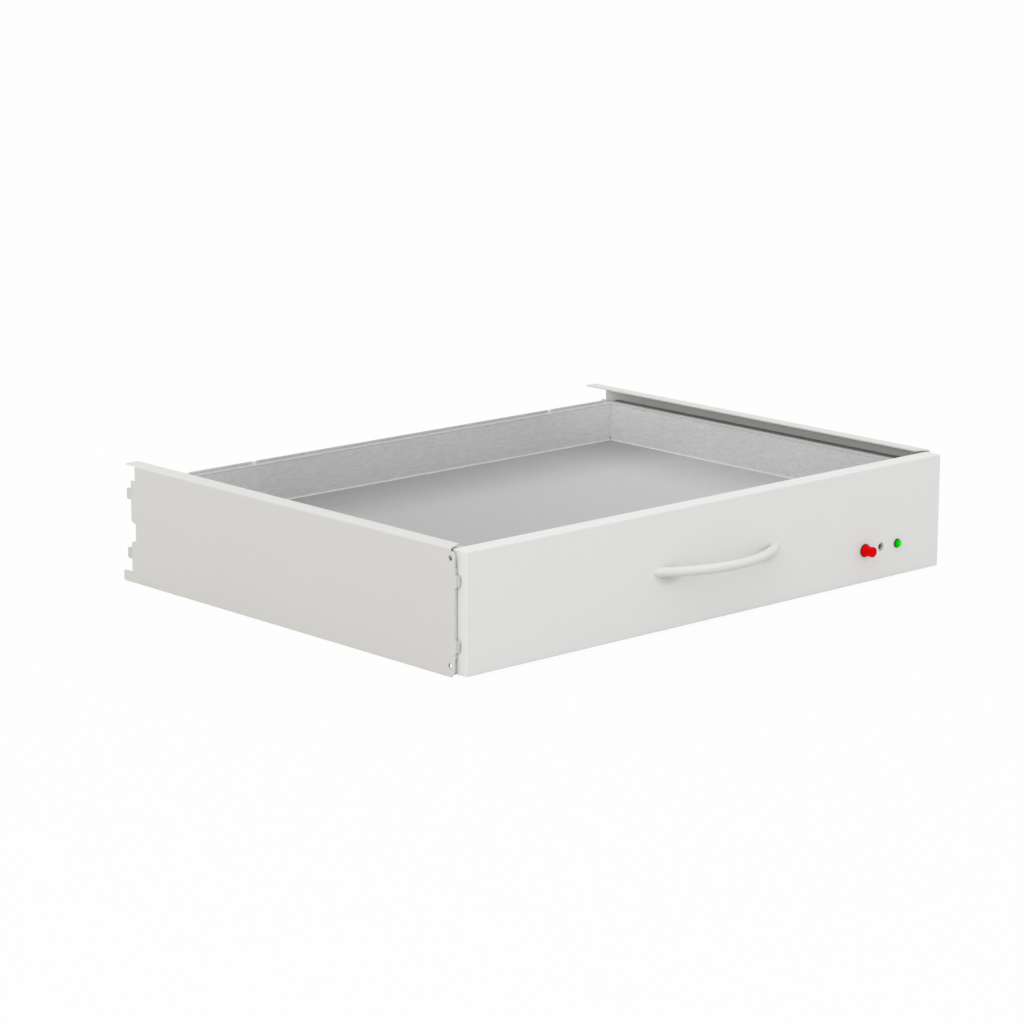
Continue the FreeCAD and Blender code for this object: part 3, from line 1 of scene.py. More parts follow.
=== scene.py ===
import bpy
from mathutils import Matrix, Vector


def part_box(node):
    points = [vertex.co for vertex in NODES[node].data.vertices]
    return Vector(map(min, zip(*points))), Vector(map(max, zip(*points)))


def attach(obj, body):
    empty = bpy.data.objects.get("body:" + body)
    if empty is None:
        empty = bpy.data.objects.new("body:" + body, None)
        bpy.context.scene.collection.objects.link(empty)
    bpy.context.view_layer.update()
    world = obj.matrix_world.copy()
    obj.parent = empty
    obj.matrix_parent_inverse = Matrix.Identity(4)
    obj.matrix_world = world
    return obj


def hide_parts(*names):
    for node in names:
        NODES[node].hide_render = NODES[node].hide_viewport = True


bl_info = {
    "name": "Warming drawer",
    "version": (1, 0, 0),
    "blender": (4, 5, 0),
    "location": "3D View > Sidebar > Warming drawer",
    "description": "Dresses the warming drawer's frame with finishes, fine pieces and a studio",
    "category": "Object",
}

import math

import bmesh
import bpy
import numpy as np
from bpy.props import FloatProperty, FloatVectorProperty, IntProperty, PointerProperty
from mathutils import Matrix, Vector

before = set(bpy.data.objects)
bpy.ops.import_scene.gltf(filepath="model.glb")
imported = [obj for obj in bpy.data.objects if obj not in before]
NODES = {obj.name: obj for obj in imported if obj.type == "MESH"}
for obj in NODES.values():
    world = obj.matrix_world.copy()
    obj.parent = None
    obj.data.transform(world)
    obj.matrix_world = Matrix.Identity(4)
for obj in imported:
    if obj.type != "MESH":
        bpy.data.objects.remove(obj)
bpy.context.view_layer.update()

MILLIMETRE = 0.001
MICROMETRE = 1e-6
FULL_TURN = 2 * math.pi
NEAR_AXIS = 1e-9
OUTWARDS = (0, -1, 0)
REARWARDS = (0, 1, 0)
SHARP_FOLD = math.radians(40)
BLACK = (0, 0, 0, 1)
WHITE = (1, 1, 1, 1)
BLACK_RUBBER = (0.035, 0.035, 0.035)

# Most values of a noise lie between these two
NOISE_SPAN = (0.3, 0.7)

# Painted shadow under the handle's feet: its share, the distances between which it fades, and where its
# middle is
FOOT_SHADE = 0.26
FOOT_SHADE_REACH = (2 * MILLIMETRE, 12 * MILLIMETRE)
FOOT_SHADE_INSET = 16 * MILLIMETRE
FOOT_SHADE_DROP = 2 * MILLIMETRE

# Painted highlight on the flanges on top of the side panels, and painted shade on the handle's underside
FLANGE_PAINTED_HIGHLIGHT = 0.16
FLANGE_PAINTED_HIGHLIGHT_DEPTHS = (3 * MILLIMETRE, MILLIMETRE)
BAR_SHADE = 0.15
BAR_SHADE_START = 0.6

# Ground steel: a face belongs to an axis along which its normal is at least this long
ALONG_AXIS = 0.7

# Tray: its rim, the depths of its floor and of its fold's line below the rim, and the shares of painted
# shade on its floor, on other level faces, on walls that face along Y, and of the painted shadow under the
# fold
NO_BASIN = (1.0, -1.0, 1.0, -1.0)
TRAY_RIM_WIDTH = 12 * MILLIMETRE
TRAY_FLOOR_DEPTH = 10 * MILLIMETRE
TRAY_FOLD_DEPTHS = (4.5 * MILLIMETRE, 1.4 * MILLIMETRE)
FLOOR_PAINTED_SHADE = 0.35
RIM_PAINTED_SHADE = 0.27
END_WALL_PAINTED_SHADE = 0.13
FOLD_PAINTED_SHADOW = 0.15

# Radii of the thermostat knob, and its flutes, whose depth is a share of the radius
KNOB_SKIRT = 7.6 * MILLIMETRE
KNOB_WAIST = 6.2 * MILLIMETRE
KNOB_HEAD = 7 * MILLIMETRE
KNOB_BORE = 3.1 * MILLIMETRE
KNOB_FLUTES = 30
KNOB_FLUTE_DEPTH = 0.006

# Reset button: the wall and lip of its bush, and the depth and share of the dish in its face
BUSH_WALL = 1.1 * MILLIMETRE
BUSH_LIP = 0.5 * MILLIMETRE
DISH_DEPTH = 0.25 * MILLIMETRE
DISH_SHARE = 0.82

# Cable gland, measured from the end of its thread, its radii and its ribs
GLAND_LENGTH = 22 * MILLIMETRE
GLAND_THREAD_END = 6 * MILLIMETRE
GLAND_CAP_START = 12 * MILLIMETRE
GLAND_PITCH = 1.5 * MILLIMETRE
GLAND_HALF_FLATS = 9 * MILLIMETRE
GLAND_THREAD_RADIUS = 6 * MILLIMETRE
GLAND_THREAD_DEPTH = 0.03
GLAND_BORE = 4 * MILLIMETRE
GLAND_RIBS = 16
GLAND_RIB_DEPTH = 0.02

# Rolled rails
RAIL_SHEET = 1.2 * MILLIMETRE
RAIL_OUTER_BEND = 1.8 * MILLIMETRE
RAIL_INNER_BEND = 0.6 * MILLIMETRE
RAIL_EDGE = 0.3 * MILLIMETRE

# Pan head screws, the same kind throughout
SCREW_RADIUS = 2 * MILLIMETRE
SCREW_PITCH = 0.7 * MILLIMETRE
SCREW_HEAD_RADIUS = 4 * MILLIMETRE
SCREW_HEAD_DEPTH = 2.3 * MILLIMETRE
SCREW_SOCKET_RADIUS = 1.4 * MILLIMETRE
SCREW_LOBES = 6
SCREW_LOBE_DEPTH = 0.12
SCREW_THREAD_DEPTH = 0.07
SCREW_SEGMENTS = 24
RAIL_SCREW_LENGTH = 6 * MILLIMETRE

# Share of plain white in what the camera sees of the floor
FLOOR_GLOW = 0.96

# Where the camera stands: fitted to the object's long edges, measured from the front panel's lower edge
CAMERA_YAW = math.radians(42.63)
CAMERA_PITCH = math.radians(12.72)
CAMERA_ROLL = math.radians(0.209)
CAMERA_DISTANCE = 4.1208
CAMERA_FOCAL_PIXELS = 3461.1
IMAGE_PIXELS = 1024
CAMERA_SIDE_PIXELS = 205.20
CAMERA_RISE_PIXELS = 105.63
SENSOR_WIDTH = 36.0


def node_centre(name):
    """Middle of a frame node's box."""
    low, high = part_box(name)
    return (low + high) / 2


# Shaders

def maths_method(operation, swapped=False):
    """A method that adds a Math node; swapped puts the other value first."""
    def method(*values):
        ordered = values[::-1] if swapped else values
        return values[0].shader.maths(operation, *ordered)
    return method


class Value:
    """A shader socket that Python's operators extend with Math nodes."""

    def __init__(self, shader, socket):
        self.shader = shader
        self.socket = socket

    __add__ = __radd__ = maths_method("ADD")
    __sub__ = maths_method("SUBTRACT")
    __rsub__ = maths_method("SUBTRACT", swapped=True)
    __mul__ = __rmul__ = maths_method("MULTIPLY")
    __truediv__ = maths_method("DIVIDE")
    __pow__ = maths_method("POWER")
    __gt__ = maths_method("GREATER_THAN")
    __lt__ = maths_method("LESS_THAN")
    __abs__ = maths_method("ABSOLUTE")


class Shader:
    """One material's node tree around a Principled shader."""

    def __init__(self, name, **constants):
        self.material = bpy.data.materials.new(name)
        self.material.use_nodes = True
        self.tree = self.material.node_tree
        self.principled = self.tree.nodes["Principled BSDF"]
        self.finish(**constants)
        self.place = self.add("TexCoord", output="Object")

    def add(self, kind, settings=None, output=0, **inputs):
        """Add a node: its settings first, then a value or a link for each named input."""
        node = self.tree.nodes.new("ShaderNode" + kind)
        for key, value in (settings or {}).items():
            setattr(node, key, value)
        for key, value in inputs.items():
            index = int(key[1:]) if key[1:].isdigit() else key.replace("_", " ")
            self.feed(node.inputs[index], value)
        return Value(self, node.outputs[output])

    def feed(self, socket, value):
        if isinstance(value, Value):
            self.tree.links.new(value.socket, socket)
        else:
            socket.default_value = value

    def maths(self, operation, *values):
        inputs = {"i%d" % index: value for index, value in enumerate(values)}
        return self.add("Math", {"operation": operation}, **inputs)

    def parts(self, vector):
        """The three numbers of a vector."""
        node = self.tree.nodes.new("ShaderNodeSeparateXYZ")
        self.feed(node.inputs[0], vector)
        return [Value(self, output) for output in node.outputs]

    def mix(self, factor, first, second):
        """Colour between two colours."""
        return self.add("Mix", {"data_type": "RGBA"}, output=2, i0=factor, i6=first, i7=second)

    def tones(self, factor, colour, darker, lighter):
        """Colour between a darker and a lighter tone of one colour."""
        return self.mix(factor, shade(colour, darker), shade(colour, lighter))

    def ramp(self, factor, *stops):
        """Colour along a ramp whose stops are (position, colour)."""
        node = self.tree.nodes.new("ShaderNodeValToRGB")
        self.feed(node.inputs[0], factor)
        elements = node.color_ramp.elements
        while len(elements) < len(stops):
            elements.new(0.5)
        for element, (position, colour) in zip(elements, stops):
            element.position = position
            element.color = colour
        return Value(self, node.outputs[0])

    def stretched(self, scale, turn=(0, 0, 0)):
        """Object coordinates turned and stretched; scale is in waves per metre."""
        return self.add("Mapping", Vector=self.place, Scale=scale, Rotation=turn)

    def noise(self, scale, detail, roughness=0.55, vector=None, distortion=0.0):
        """Soft noise between 0 and 1, even in all directions unless a stretched vector is given."""
        return self.add("TexNoise", Vector=vector or self.place, Scale=scale, Detail=detail,
                        Roughness=roughness, Distortion=distortion)

    def remap(self, value, low, high, from_low=0.0, from_high=1.0):
        """Stretch a value from one range to another, clamped."""
        return self.add("MapRange", i0=value, i1=from_low, i2=from_high, i3=low, i4=high)

    def bump(self, height, distance):
        return self.add("Bump", Height=height, Distance=distance, Strength=1)

    def finish(self, **channels):
        """Set or link channels of the Principled shader and give back the material."""
        for socket, value in channels.items():
            self.feed(self.principled.inputs[socket.replace("_", " ")], value)
        return self.material


def shade(colour, factor):
    """A colour made lighter or darker, with full alpha."""
    return tuple(min(1.0, part * factor) for part in colour[:3]) + (1,)


def powder_coat(name, colour, roughness, gloss=0.4, fade=None, feet=()):
    """Baked powder paint: fine orange peel, faint clouds of tone and roughness.

    fade gives a colour, its largest share and the two heights between which the share grows from nothing:
    white for a painted highlight, black for a painted shade.
    feet gives the places, across and up, of painted shadows under the handle's feet: round each the paint
    is darker, and twice as far across as up.
    """
    shader = Shader(name, Specular_IOR_Level=gloss)
    clouds = shader.noise(7, detail=2)
    specks = shader.noise(1900, detail=1)
    tone = clouds * 0.7 + specks * 0.3
    peel = shader.noise(620, detail=2, roughness=0.5)
    paint = shader.tones(tone, colour, 0.985, 1.015)
    across, _, up = shader.parts(shader.place)
    # Painted highlight (white) or painted shade (black) that grows between two heights
    if fade:
        fade_colour, share, start, end = fade
        paint = shader.mix(shader.remap(up, 0.0, share, start, end), paint, fade_colour)
    # Painted shadow round each of the handle's feet
    for foot_across, foot_up in feet:
        distance = shader.maths("SQRT", ((across - foot_across) / 2) ** 2 + (up - foot_up) ** 2)
        paint = shader.mix(shader.remap(distance, FOOT_SHADE, 0.0, *FOOT_SHADE_REACH), paint, BLACK)
    return shader.finish(
        Base_Color=paint,
        Roughness=shader.remap(clouds, roughness - 0.04, roughness + 0.04, *NOISE_SPAN),
        Normal=shader.bump(peel, 12 * MICROMETRE),
    )


def brushed_steel(name, colour, roughness, basin=NO_BASIN):
    """Ground stainless sheet, each face with its own grain, and with a painted shade and painted light that
    depend on which way it faces.

    Hair lines run along X on floors and on walls that face along Y, where they show most. On walls that
    face along X they run along Y and wander. Level faces and walls that face along Y carry a painted shade,
    which lightens towards the sides on the walls; walls that face along X carry a painted shade towards the
    front that turns to painted light towards the rear. A basin is given by its half width, front, rear and
    rim height: its floor is dull, and its painted shade deepens towards the walls and is lighter towards
    +X, and a painted shadow line lies under the fold below the rim.
    """
    half_width, front, rear, rim_height = basin
    shader = Shader(name)
    facing = shader.parts(shader.add("NewGeometry", output="Normal"))
    side_wall = abs(facing[0]) > ALONG_AXIS
    end_wall = abs(facing[1]) > ALONG_AXIS
    across, along, up = shader.parts(shader.place)
    level = abs(facing[2]) > ALONG_AXIS
    floor = level * (up < rim_height - TRAY_FLOOR_DEPTH)
    rim = level - floor
    # Band under the rim's fold that takes a painted shadow
    fold_foot, fold_top = (rim_height - depth for depth in TRAY_FOLD_DEPTHS)
    painted_fold_shadow = (up > fold_foot) * (up < fold_top) * (1 - level)
    side_room = half_width - abs(across)
    end_room = (rear - front) / 2 - abs(along - (rear + front) / 2)
    # Painted shade on the floor that deepens towards the walls
    painted_shade_by_sides = shader.remap(side_room, 0.86, 1.0, from_low=0.05, from_high=0.14)
    painted_shade_by_ends = shader.remap(end_room, 0.77, 1.0, from_low=0.06, from_high=0.155)
    painted_floor_shade = painted_shade_by_sides * painted_shade_by_ends
    # Painted light on walls that face along Y, towards their sides
    corner = shader.remap(abs(across), 0.0, 1.0, from_low=0.22, from_high=0.34)
    # Painted shade towards the front of walls that face along X, painted light towards their rear
    painted_light_along_sides = shader.remap(along, 0.06, -0.06, from_low=0.0, from_high=0.25)
    fine_lines = shader.noise(1, detail=5, roughness=0.75, vector=shader.stretched((55, 300, 300)))
    wandering = shader.noise(1, detail=5, roughness=0.75, vector=shader.stretched((240, 75, 280)),
                             distortion=0.9)
    lines = fine_lines * (1 - side_wall) + wandering * side_wall
    grit = shader.noise(420, detail=3, roughness=0.8)
    clouds = shader.noise(16, detail=3)
    smears = shader.noise(1, detail=2, vector=shader.stretched((5, 60, 60)))
    grain = lines * 0.58 + grit * 0.32 + clouds * 0.05 + smears * 0.05
    # Painted shade on level faces, on walls that face along Y and under the fold, along the walls that face
    # along X, and on the floor near the walls, lighter towards +X
    tone = (1 - FLOOR_PAINTED_SHADE * floor - RIM_PAINTED_SHADE * rim) * (1 - END_WALL_PAINTED_SHADE * end_wall * (1 - corner))
    tone = tone * (1 - FOLD_PAINTED_SHADOW * painted_fold_shadow)
    tone = tone * (1 - side_wall * painted_light_along_sides)
    tone = tone * (1 - floor * (1 - painted_floor_shade * (1 + 0.45 * across)))
    contrast = 0.45 * (1 - 0.45 * floor)
    tone = tone * (1 + contrast * (grain - 0.5) * 2)
    brightest = 1.25
    line_roughness = shader.remap(lines, -0.07, 0.07, *NOISE_SPAN)
    return shader.finish(
        Base_Color=shader.mix(tone / brightest, BLACK, shade(colour, brightest)),
        Metallic=shader.remap(clouds, 0.28, 0.4, *NOISE_SPAN) * (1 - 0.85 * floor),
        Roughness=roughness + 0.1 * floor + line_roughness * (1 - 0.6 * floor),
        Normal=shader.bump(lines * (1 - 0.96 * floor), 12 * MICROMETRE),
    )


def zinc_plate(name, colour, roughness, spangle=90, metal=0.8):
    """Galvanised sheet: spangles of different tone with fine frost inside each."""
    shader = Shader(name)
    cells = shader.add("TexVoronoi", {"feature": "F1"}, output="Color", Vector=shader.place, Scale=spangle)
    cell = shader.parts(cells)[0]
    frost = shader.noise(700, detail=3)
    clouds = shader.noise(14, detail=2)
    tone = cell * 0.5 + frost * 0.25 + clouds * 0.25
    return shader.finish(
        Base_Color=shader.tones(tone, colour, 0.88, 1.12),
        Metallic=shader.remap(clouds, metal, metal + 0.15),
        Roughness=shader.remap(cell, roughness - 0.08, roughness + 0.1),
        Normal=shader.bump(frost, 8 * MICROMETRE),
    )


def drawn_steel(name, colour, roughness):
    """Roll formed rail: fine lines along Y, and smears of thin grease."""
    shader = Shader(name)
    lines = shader.noise(1, detail=3, vector=shader.stretched((1600, 7, 1600)))
    grease = shader.noise(38, detail=3)
    tone = lines * 0.5 + grease * 0.5
    return shader.finish(
        Base_Color=shader.tones(tone, colour, 0.85, 1.15),
        Metallic=shader.remap(grease, 0.75, 0.95, 0.35, 0.65),
        Roughness=shader.remap(grease, roughness + 0.1, roughness - 0.06, *NOISE_SPAN),
        Normal=shader.bump(lines, 9 * MICROMETRE),
    )


def turned_steel(name, colour, roughness):
    """Plated screws, nuts, spindles and balls: faint turning marks and small dull spots."""
    shader = Shader(name)
    marks = shader.noise(2600, detail=2)
    spots = shader.noise(320, detail=2)
    return shader.finish(
        Base_Color=shader.tones(spots, colour, 0.82, 1.1),
        Metallic=shader.remap(spots, 0.85, 1.0),
        Roughness=shader.remap(spots, roughness + 0.12, roughness - 0.04, *NOISE_SPAN),
        Normal=shader.bump(marks, 5 * MICROMETRE),
    )


def moulded_plastic(name, colour, roughness, grain=1500, depth=10 * MICROMETRE, **constants):
    """Injection moulded plastic: eroded grain, slight flow marks and handling gloss."""
    shader = Shader(name, **constants)
    grain_noise = shader.noise(grain, detail=2)
    flow = shader.noise(110, detail=2, distortion=0.6)
    return shader.finish(
        Base_Color=shader.tones(flow, colour, 0.93, 1.07),
        Roughness=shader.remap(flow, roughness + 0.07, roughness - 0.05, *NOISE_SPAN),
        Normal=shader.bump(grain_noise, depth),
    )


def soft_rubber(name, colour, roughness):
    """Rubber and silicone: dull, with bloom and fine pores."""
    shader = Shader(name, Specular_IOR_Level=0.3)
    pores = shader.noise(1400, detail=3)
    bloom = shader.noise(70, detail=3)
    return shader.finish(
        Base_Color=shader.tones(bloom, colour, 0.85, 1.25),
        Roughness=shader.remap(bloom, roughness - 0.06, roughness + 0.08, *NOISE_SPAN),
        Normal=shader.bump(pores, 20 * MICROMETRE),
    )


def mineral_wool(name, colour):
    """Pressed fibre mat: tangled fibres in two directions and uneven binder."""
    shader = Shader(name, Specular_IOR_Level=0.1)
    across_fibres = shader.noise(1, detail=5, vector=shader.stretched((260, 1900, 1900)), distortion=1.5)
    along_fibres = shader.noise(1, detail=5, vector=shader.stretched((1900, 260, 1900)), distortion=1.5)
    binder = shader.noise(45, detail=4)
    fibres = shader.maths("MAXIMUM", across_fibres, along_fibres)
    return shader.finish(
        Base_Color=shader.tones(fibres * 0.6 + binder * 0.4, colour, 0.6, 1.25),
        Roughness=shader.remap(binder, 0.85, 1.0),
        Normal=shader.bump(fibres, 500 * MICROMETRE),
    )


def heated_sheath(name, colour):
    """Alloy tube of the heating element: straw and blue oxide clouds over fine drawing lines."""
    shader = Shader(name)
    oxide = shader.noise(30, detail=4)
    lines = shader.noise(900, detail=2)
    bare = shade(colour, 0.7)
    straw = (0.30, 0.24, 0.16, 1)
    blue = (0.16, 0.17, 0.21, 1)
    return shader.finish(
        Base_Color=shader.ramp(oxide, (0.3, bare), (0.5, straw), (0.7, blue)),
        Metallic=shader.remap(oxide, 0.9, 0.7),
        Roughness=shader.remap(oxide, 0.35, 0.6),
        Normal=shader.bump(lines, 8 * MICROMETRE),
    )


def lens_plastic(name, colour, centre, radius):
    """Tinted lens: brighter towards the middle, where the lamp stands behind it."""
    shader = Shader(name, Specular_IOR_Level=0.04, Emission_Strength=0.35)
    across, _, up = shader.parts(shader.place)
    away = ((across - centre.x) ** 2 + (up - centre.z) ** 2) ** 0.5
    glow = shader.remap(away, 1.0, 0.0, 0.0, radius)
    grain = shader.noise(2400, detail=2)
    ripple = shader.noise(420, detail=1)
    return shader.finish(
        Base_Color=shader.tones(glow, colour, 0.55, 1.25),
        Emission_Color=shader.mix(glow, BLACK, shade(colour, 1.4)),
        Roughness=shader.remap(ripple, 0.16, 0.26),
        Normal=shader.bump(grain, 4 * MICROMETRE),
    )


def woven_sleeve(name, colour):
    """Varnished glass sleeving on the internal leads: a fine crossed weave."""
    shader = Shader(name)
    one_way, other_way = [shader.add("TexWave", Vector=shader.stretched((1, 1, 1), (0, 0, turn)), Scale=700)
                          for turn in (0.8, -0.8)]
    weave = one_way * 0.5 + other_way * 0.5
    stains = shader.noise(60, detail=2)
    return shader.finish(
        Base_Color=shader.tones(weave * 0.7 + stains * 0.3, colour, 0.7, 1.2),
        Roughness=shader.remap(stains, 0.45, 0.65),
        Normal=shader.bump(weave, 60 * MICROMETRE),
    )


def coat(material, *names):
    """Give frame nodes a material in every slot."""
    for name in names:
        mesh = NODES[name].data
        mesh.materials.clear()
        mesh.materials.append(material)


# Surfaces worked out on grids

def grid_faces(rows, columns, round_rows=False, round_columns=False):
    """Quads of a grid of points, closed on itself where asked."""
    row = np.arange(rows if round_rows else rows - 1)[:, None]
    column = np.arange(columns if round_columns else columns - 1)[None, :]
    next_row = (row + 1) % rows
    next_column = (column + 1) % columns
    quads = np.stack([row * columns + column, row * columns + next_column, next_row * columns + next_column,
                      next_row * columns + column], axis=-1)
    return quads.reshape(-1, 4)


def tube_faces(rings, count):
    """Faces of a tube whose rings have count points each, with a flat face on each end."""
    ends = [list(range(count)), list(range((rings - 1) * count, rings * count))]
    return grid_faces(rings, count, round_columns=True).tolist() + ends


def new_piece(name, points, faces, material, body, sharp=SHARP_FOLD):
    """A closed smooth mesh object at the origin, its faces outwards, that rides on a body."""
    mesh = bpy.data.meshes.new(name)
    mesh.from_pydata(points.reshape(-1, 3).tolist(), [], faces)
    closed = bmesh.new()
    closed.from_mesh(mesh)
    bmesh.ops.recalc_face_normals(closed, faces=closed.faces)
    closed.to_mesh(mesh)
    closed.free()
    mesh.shade_smooth()
    mesh.set_sharp_from_angle(angle=sharp)
    mesh.materials.append(material)
    piece = bpy.data.objects.new(name, mesh)
    bpy.context.scene.collection.objects.link(piece)
    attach(piece, body)
    return piece


def rounded_profile(corners, steps=6):
    """Points along a profile; corners are (along, across, bend), and a bend above 0 is replaced by an arc.

    An arc starts at bend * tan(turn / 2) before its corner and turns by equal angles.
    """
    places = [np.array(corner[:2], float) for corner in corners]
    points = [places[0][None]]
    for before, place, after, corner in zip(places, places[1:], places[2:], corners[1:]):
        bend = corner[2]
        if bend <= 0:
            points.append(place[None])
            continue
        incoming = (place - before) / np.linalg.norm(place - before)
        outgoing = (after - place) / np.linalg.norm(after - place)
        half_turn = math.acos(np.clip(incoming @ outgoing, -1, 1)) / 2
        inward = (outgoing - incoming) / np.linalg.norm(outgoing - incoming)
        centre = place + inward * bend / math.cos(half_turn)
        angle = np.linspace(-half_turn, half_turn, steps)[:, None]
        middle = (incoming + outgoing) / np.linalg.norm(incoming + outgoing)
        points.append(centre - inward * bend * np.cos(angle) + middle * bend * np.sin(angle))
    points.append(places[-1][None])
    return np.concatenate(points)


def rounded_loop(corners):
    """A closed outline with rounded corners, which starts and ends in the middle of its last edge."""
    middle = tuple((np.array(corners[0][:2]) + np.array(corners[-1][:2])) / 2)
    return rounded_profile([middle + (0,), *corners, middle + (0,)])[:-1]


def ring_outline(bore, radius, length, rear_bend, front_bend):
    """Section of a flat ring, rounded by one bend at its rear and by another at its front."""
    return rounded_loop(((0, bore, rear_bend), (0, radius, rear_bend), (length, radius, front_bend),
                         (length, bore, front_bend)))


def turned_points(profile, centres, direction, segments, wobble):
    """A profile (along, radius) turned about an axis through each centre.

    A point is centre + along * direction + radius * (cos(angle) * first + sin(angle) * second), and
    wobble(angle, along, radius), if given, scales the radius, for flutes, ribs, threads and sockets.
    """
    first = np.roll(direction, -1)
    second = np.cross(direction, first)
    angle = np.linspace(0, FULL_TURN, segments, endpoint=False)[None]
    along, radius = profile[:, :1], profile[:, 1:]
    scaled = radius * (1 + 0 * angle if wobble is None else wobble(angle, along, radius))
    ring = (scaled * np.cos(angle))[..., None] * first + (scaled * np.sin(angle))[..., None] * second
    return centres[:, None, None] + along[..., None] * direction + ring


def turned_piece(name, profile, centres, direction, material, body, segments, wobble=None,
                 sharp=SHARP_FOLD):
    """A turned part for each centre: a profile that starts on the axis gets poles, any other is a ring."""
    centres = np.array(centres, float).reshape(-1, 3)
    direction = np.array(direction, float)
    has_poles = profile[0, 1] < NEAR_AXIS
    ring = profile[1:-1] if has_poles else profile
    points = turned_points(ring, centres, direction, segments, wobble).reshape(len(centres), -1, 3)
    groups = [grid_faces(len(ring), segments, round_rows=not has_poles, round_columns=True)]
    if has_poles:
        first_pole = points.shape[1]
        poles = centres[:, None] + profile[[0, -1], :1] * direction
        points = np.concatenate([points, poles], axis=1)
        step = np.arange(segments)
        following = (step + 1) % segments
        last = (len(ring) - 1) * segments
        groups.append(np.stack([following, step, np.full(segments, first_pole)], axis=1))
        groups.append(np.stack([last + step, last + following, np.full(segments, first_pole + 1)], axis=1))
    shift = np.arange(len(centres))[:, None, None] * points.shape[1]
    faces = [face for group in groups for face in (group + shift).reshape(-1, group.shape[1]).tolist()]
    return new_piece(name, points, faces, material, body, sharp)


def drawn_piece(name, outline, start, end, material, body):
    """A closed outline (x, z) carried along Y from start to end, with a flat face on each end."""
    across, up = outline[None, :, 0], outline[None, :, 1]
    along = np.array([[start], [end]])
    points = np.stack([across + 0 * along, along + 0 * across, up + 0 * along], axis=-1)
    return new_piece(name, points, tube_faces(2, len(outline)), material, body)


def round_box(node):
    """Radius, length and middle of the rear end of a round node that lies along Y."""
    low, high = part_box(node)
    middle = node_centre(node)
    return (high.x - low.x) / 2, high.y - low.y, Vector((middle.x, high.y, middle.z))


def face_middles(node, *shares):
    """Places in a node's box, each as shares of its sides from low to high."""
    low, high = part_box(node)
    return [[low[axis] + (high[axis] - low[axis]) * share[axis] for axis in range(3)] for share in shares]


# Sizes and colours that a user would change

def colour_setting(name, description, default):
    return FloatVectorProperty(name=name, description=description, subtype="COLOR", size=3, min=0, max=1,
                               default=default)


def roughness_setting(name, description, default):
    return FloatProperty(name=name, description=description, min=0, max=1, default=default)


def length_setting(name, description, default):
    """A length, its default given in millimetres."""
    return FloatProperty(name=name, description=description, unit="LENGTH", default=default * MILLIMETRE)


class DrawerFinish(bpy.types.PropertyGroup):
    """Colours and roughness of the drawer's finishes"""

    front_paint: colour_setting("Front paint", "Colour of the front panel and handle", (0.845, 0.845, 0.83))
    side_paint: colour_setting("Side paint", "Colour of the sides and the rear rail", (0.725, 0.715, 0.685))
    paint_roughness: roughness_setting("Paint roughness", "Roughness of the painted sheet", 0.48)
    steel: colour_setting("Steel", "Colour of the stainless tray", (0.78, 0.78, 0.78))
    steel_roughness: roughness_setting("Steel roughness", "Roughness of the stainless tray", 0.42)
    zinc: colour_setting("Zinc", "Colour of the zinc plated sheet", (0.54, 0.54, 0.52))
    rail: colour_setting("Rail", "Colour of the telescopic rails", (0.48, 0.48, 0.47))
    knob: colour_setting("Knob", "Colour of the thermostat knob", (0.84, 0.0, 0.0))
    lens: colour_setting("Lens", "Colour of the pilot lamp's lens", (0.0, 0.72, 0.0))


class DrawerSizes(bpy.types.PropertyGroup):
    """Sizes of the fine pieces"""

    handle_half_chord: length_setting("Handle half chord", "From the middle to the foot's middle", 98.4)
    handle_bow: length_setting("Handle bow", "How far the bar's middle stands out", 33.5)
    handle_radius: length_setting("Handle radius", "Radius of the handle's bar", 5.9)
    round_segments: IntProperty(name="Segments", description="Segments round a turned piece", min=16,
                                default=72)


def settings():
    return bpy.context.scene.drawer_finish, bpy.context.scene.drawer_sizes


# Operators

class DRAWER_OT_studio(bpy.types.Operator):
    """Pale floor, a wide soft light, white surroundings and the camera"""

    bl_idname = "drawer.studio"
    bl_label = "Studio"

    def execute(self, context):
        scene = context.scene
        scene.view_settings.view_transform = "Standard"
        scene.world = studio_world()
        floor = studio_floor()
        scene.collection.objects.link(floor)
        scene.collection.objects.link(key_light())
        scene.camera = drawer_camera()
        return {"FINISHED"}


def seen_as(tree, real, shown, share, output):
    """Make a surface of one shader for the light and, by a share, of another one for the camera."""
    path = tree.nodes.new("ShaderNodeLightPath")
    part = tree.nodes.new("ShaderNodeMath")
    part.operation = "MULTIPLY"
    part.inputs[1].default_value = share
    choose = tree.nodes.new("ShaderNodeMixShader")
    tree.links.new(path.outputs["Is Camera Ray"], part.inputs[0])
    tree.links.new(part.outputs[0], choose.inputs["Fac"])
    tree.links.new(real.outputs[0], choose.inputs[1])
    tree.links.new(shown.outputs[0], choose.inputs[2])
    tree.links.new(choose.outputs[0], tree.nodes[output].inputs["Surface"])


def studio_world():
    """Even pale surroundings, which the camera sees as plain white."""
    world = bpy.data.worlds.new("studio_world")
    world.use_nodes = True
    nodes = world.node_tree.nodes
    ambient = nodes["Background"]
    ambient.inputs["Color"].default_value = WHITE
    ambient.inputs["Strength"].default_value = 0.9
    white = nodes.new("ShaderNodeBackground")
    white.inputs["Color"].default_value = WHITE
    white.inputs["Strength"].default_value = 1
    seen_as(world.node_tree, ambient, white, 1, "World Output")
    return world


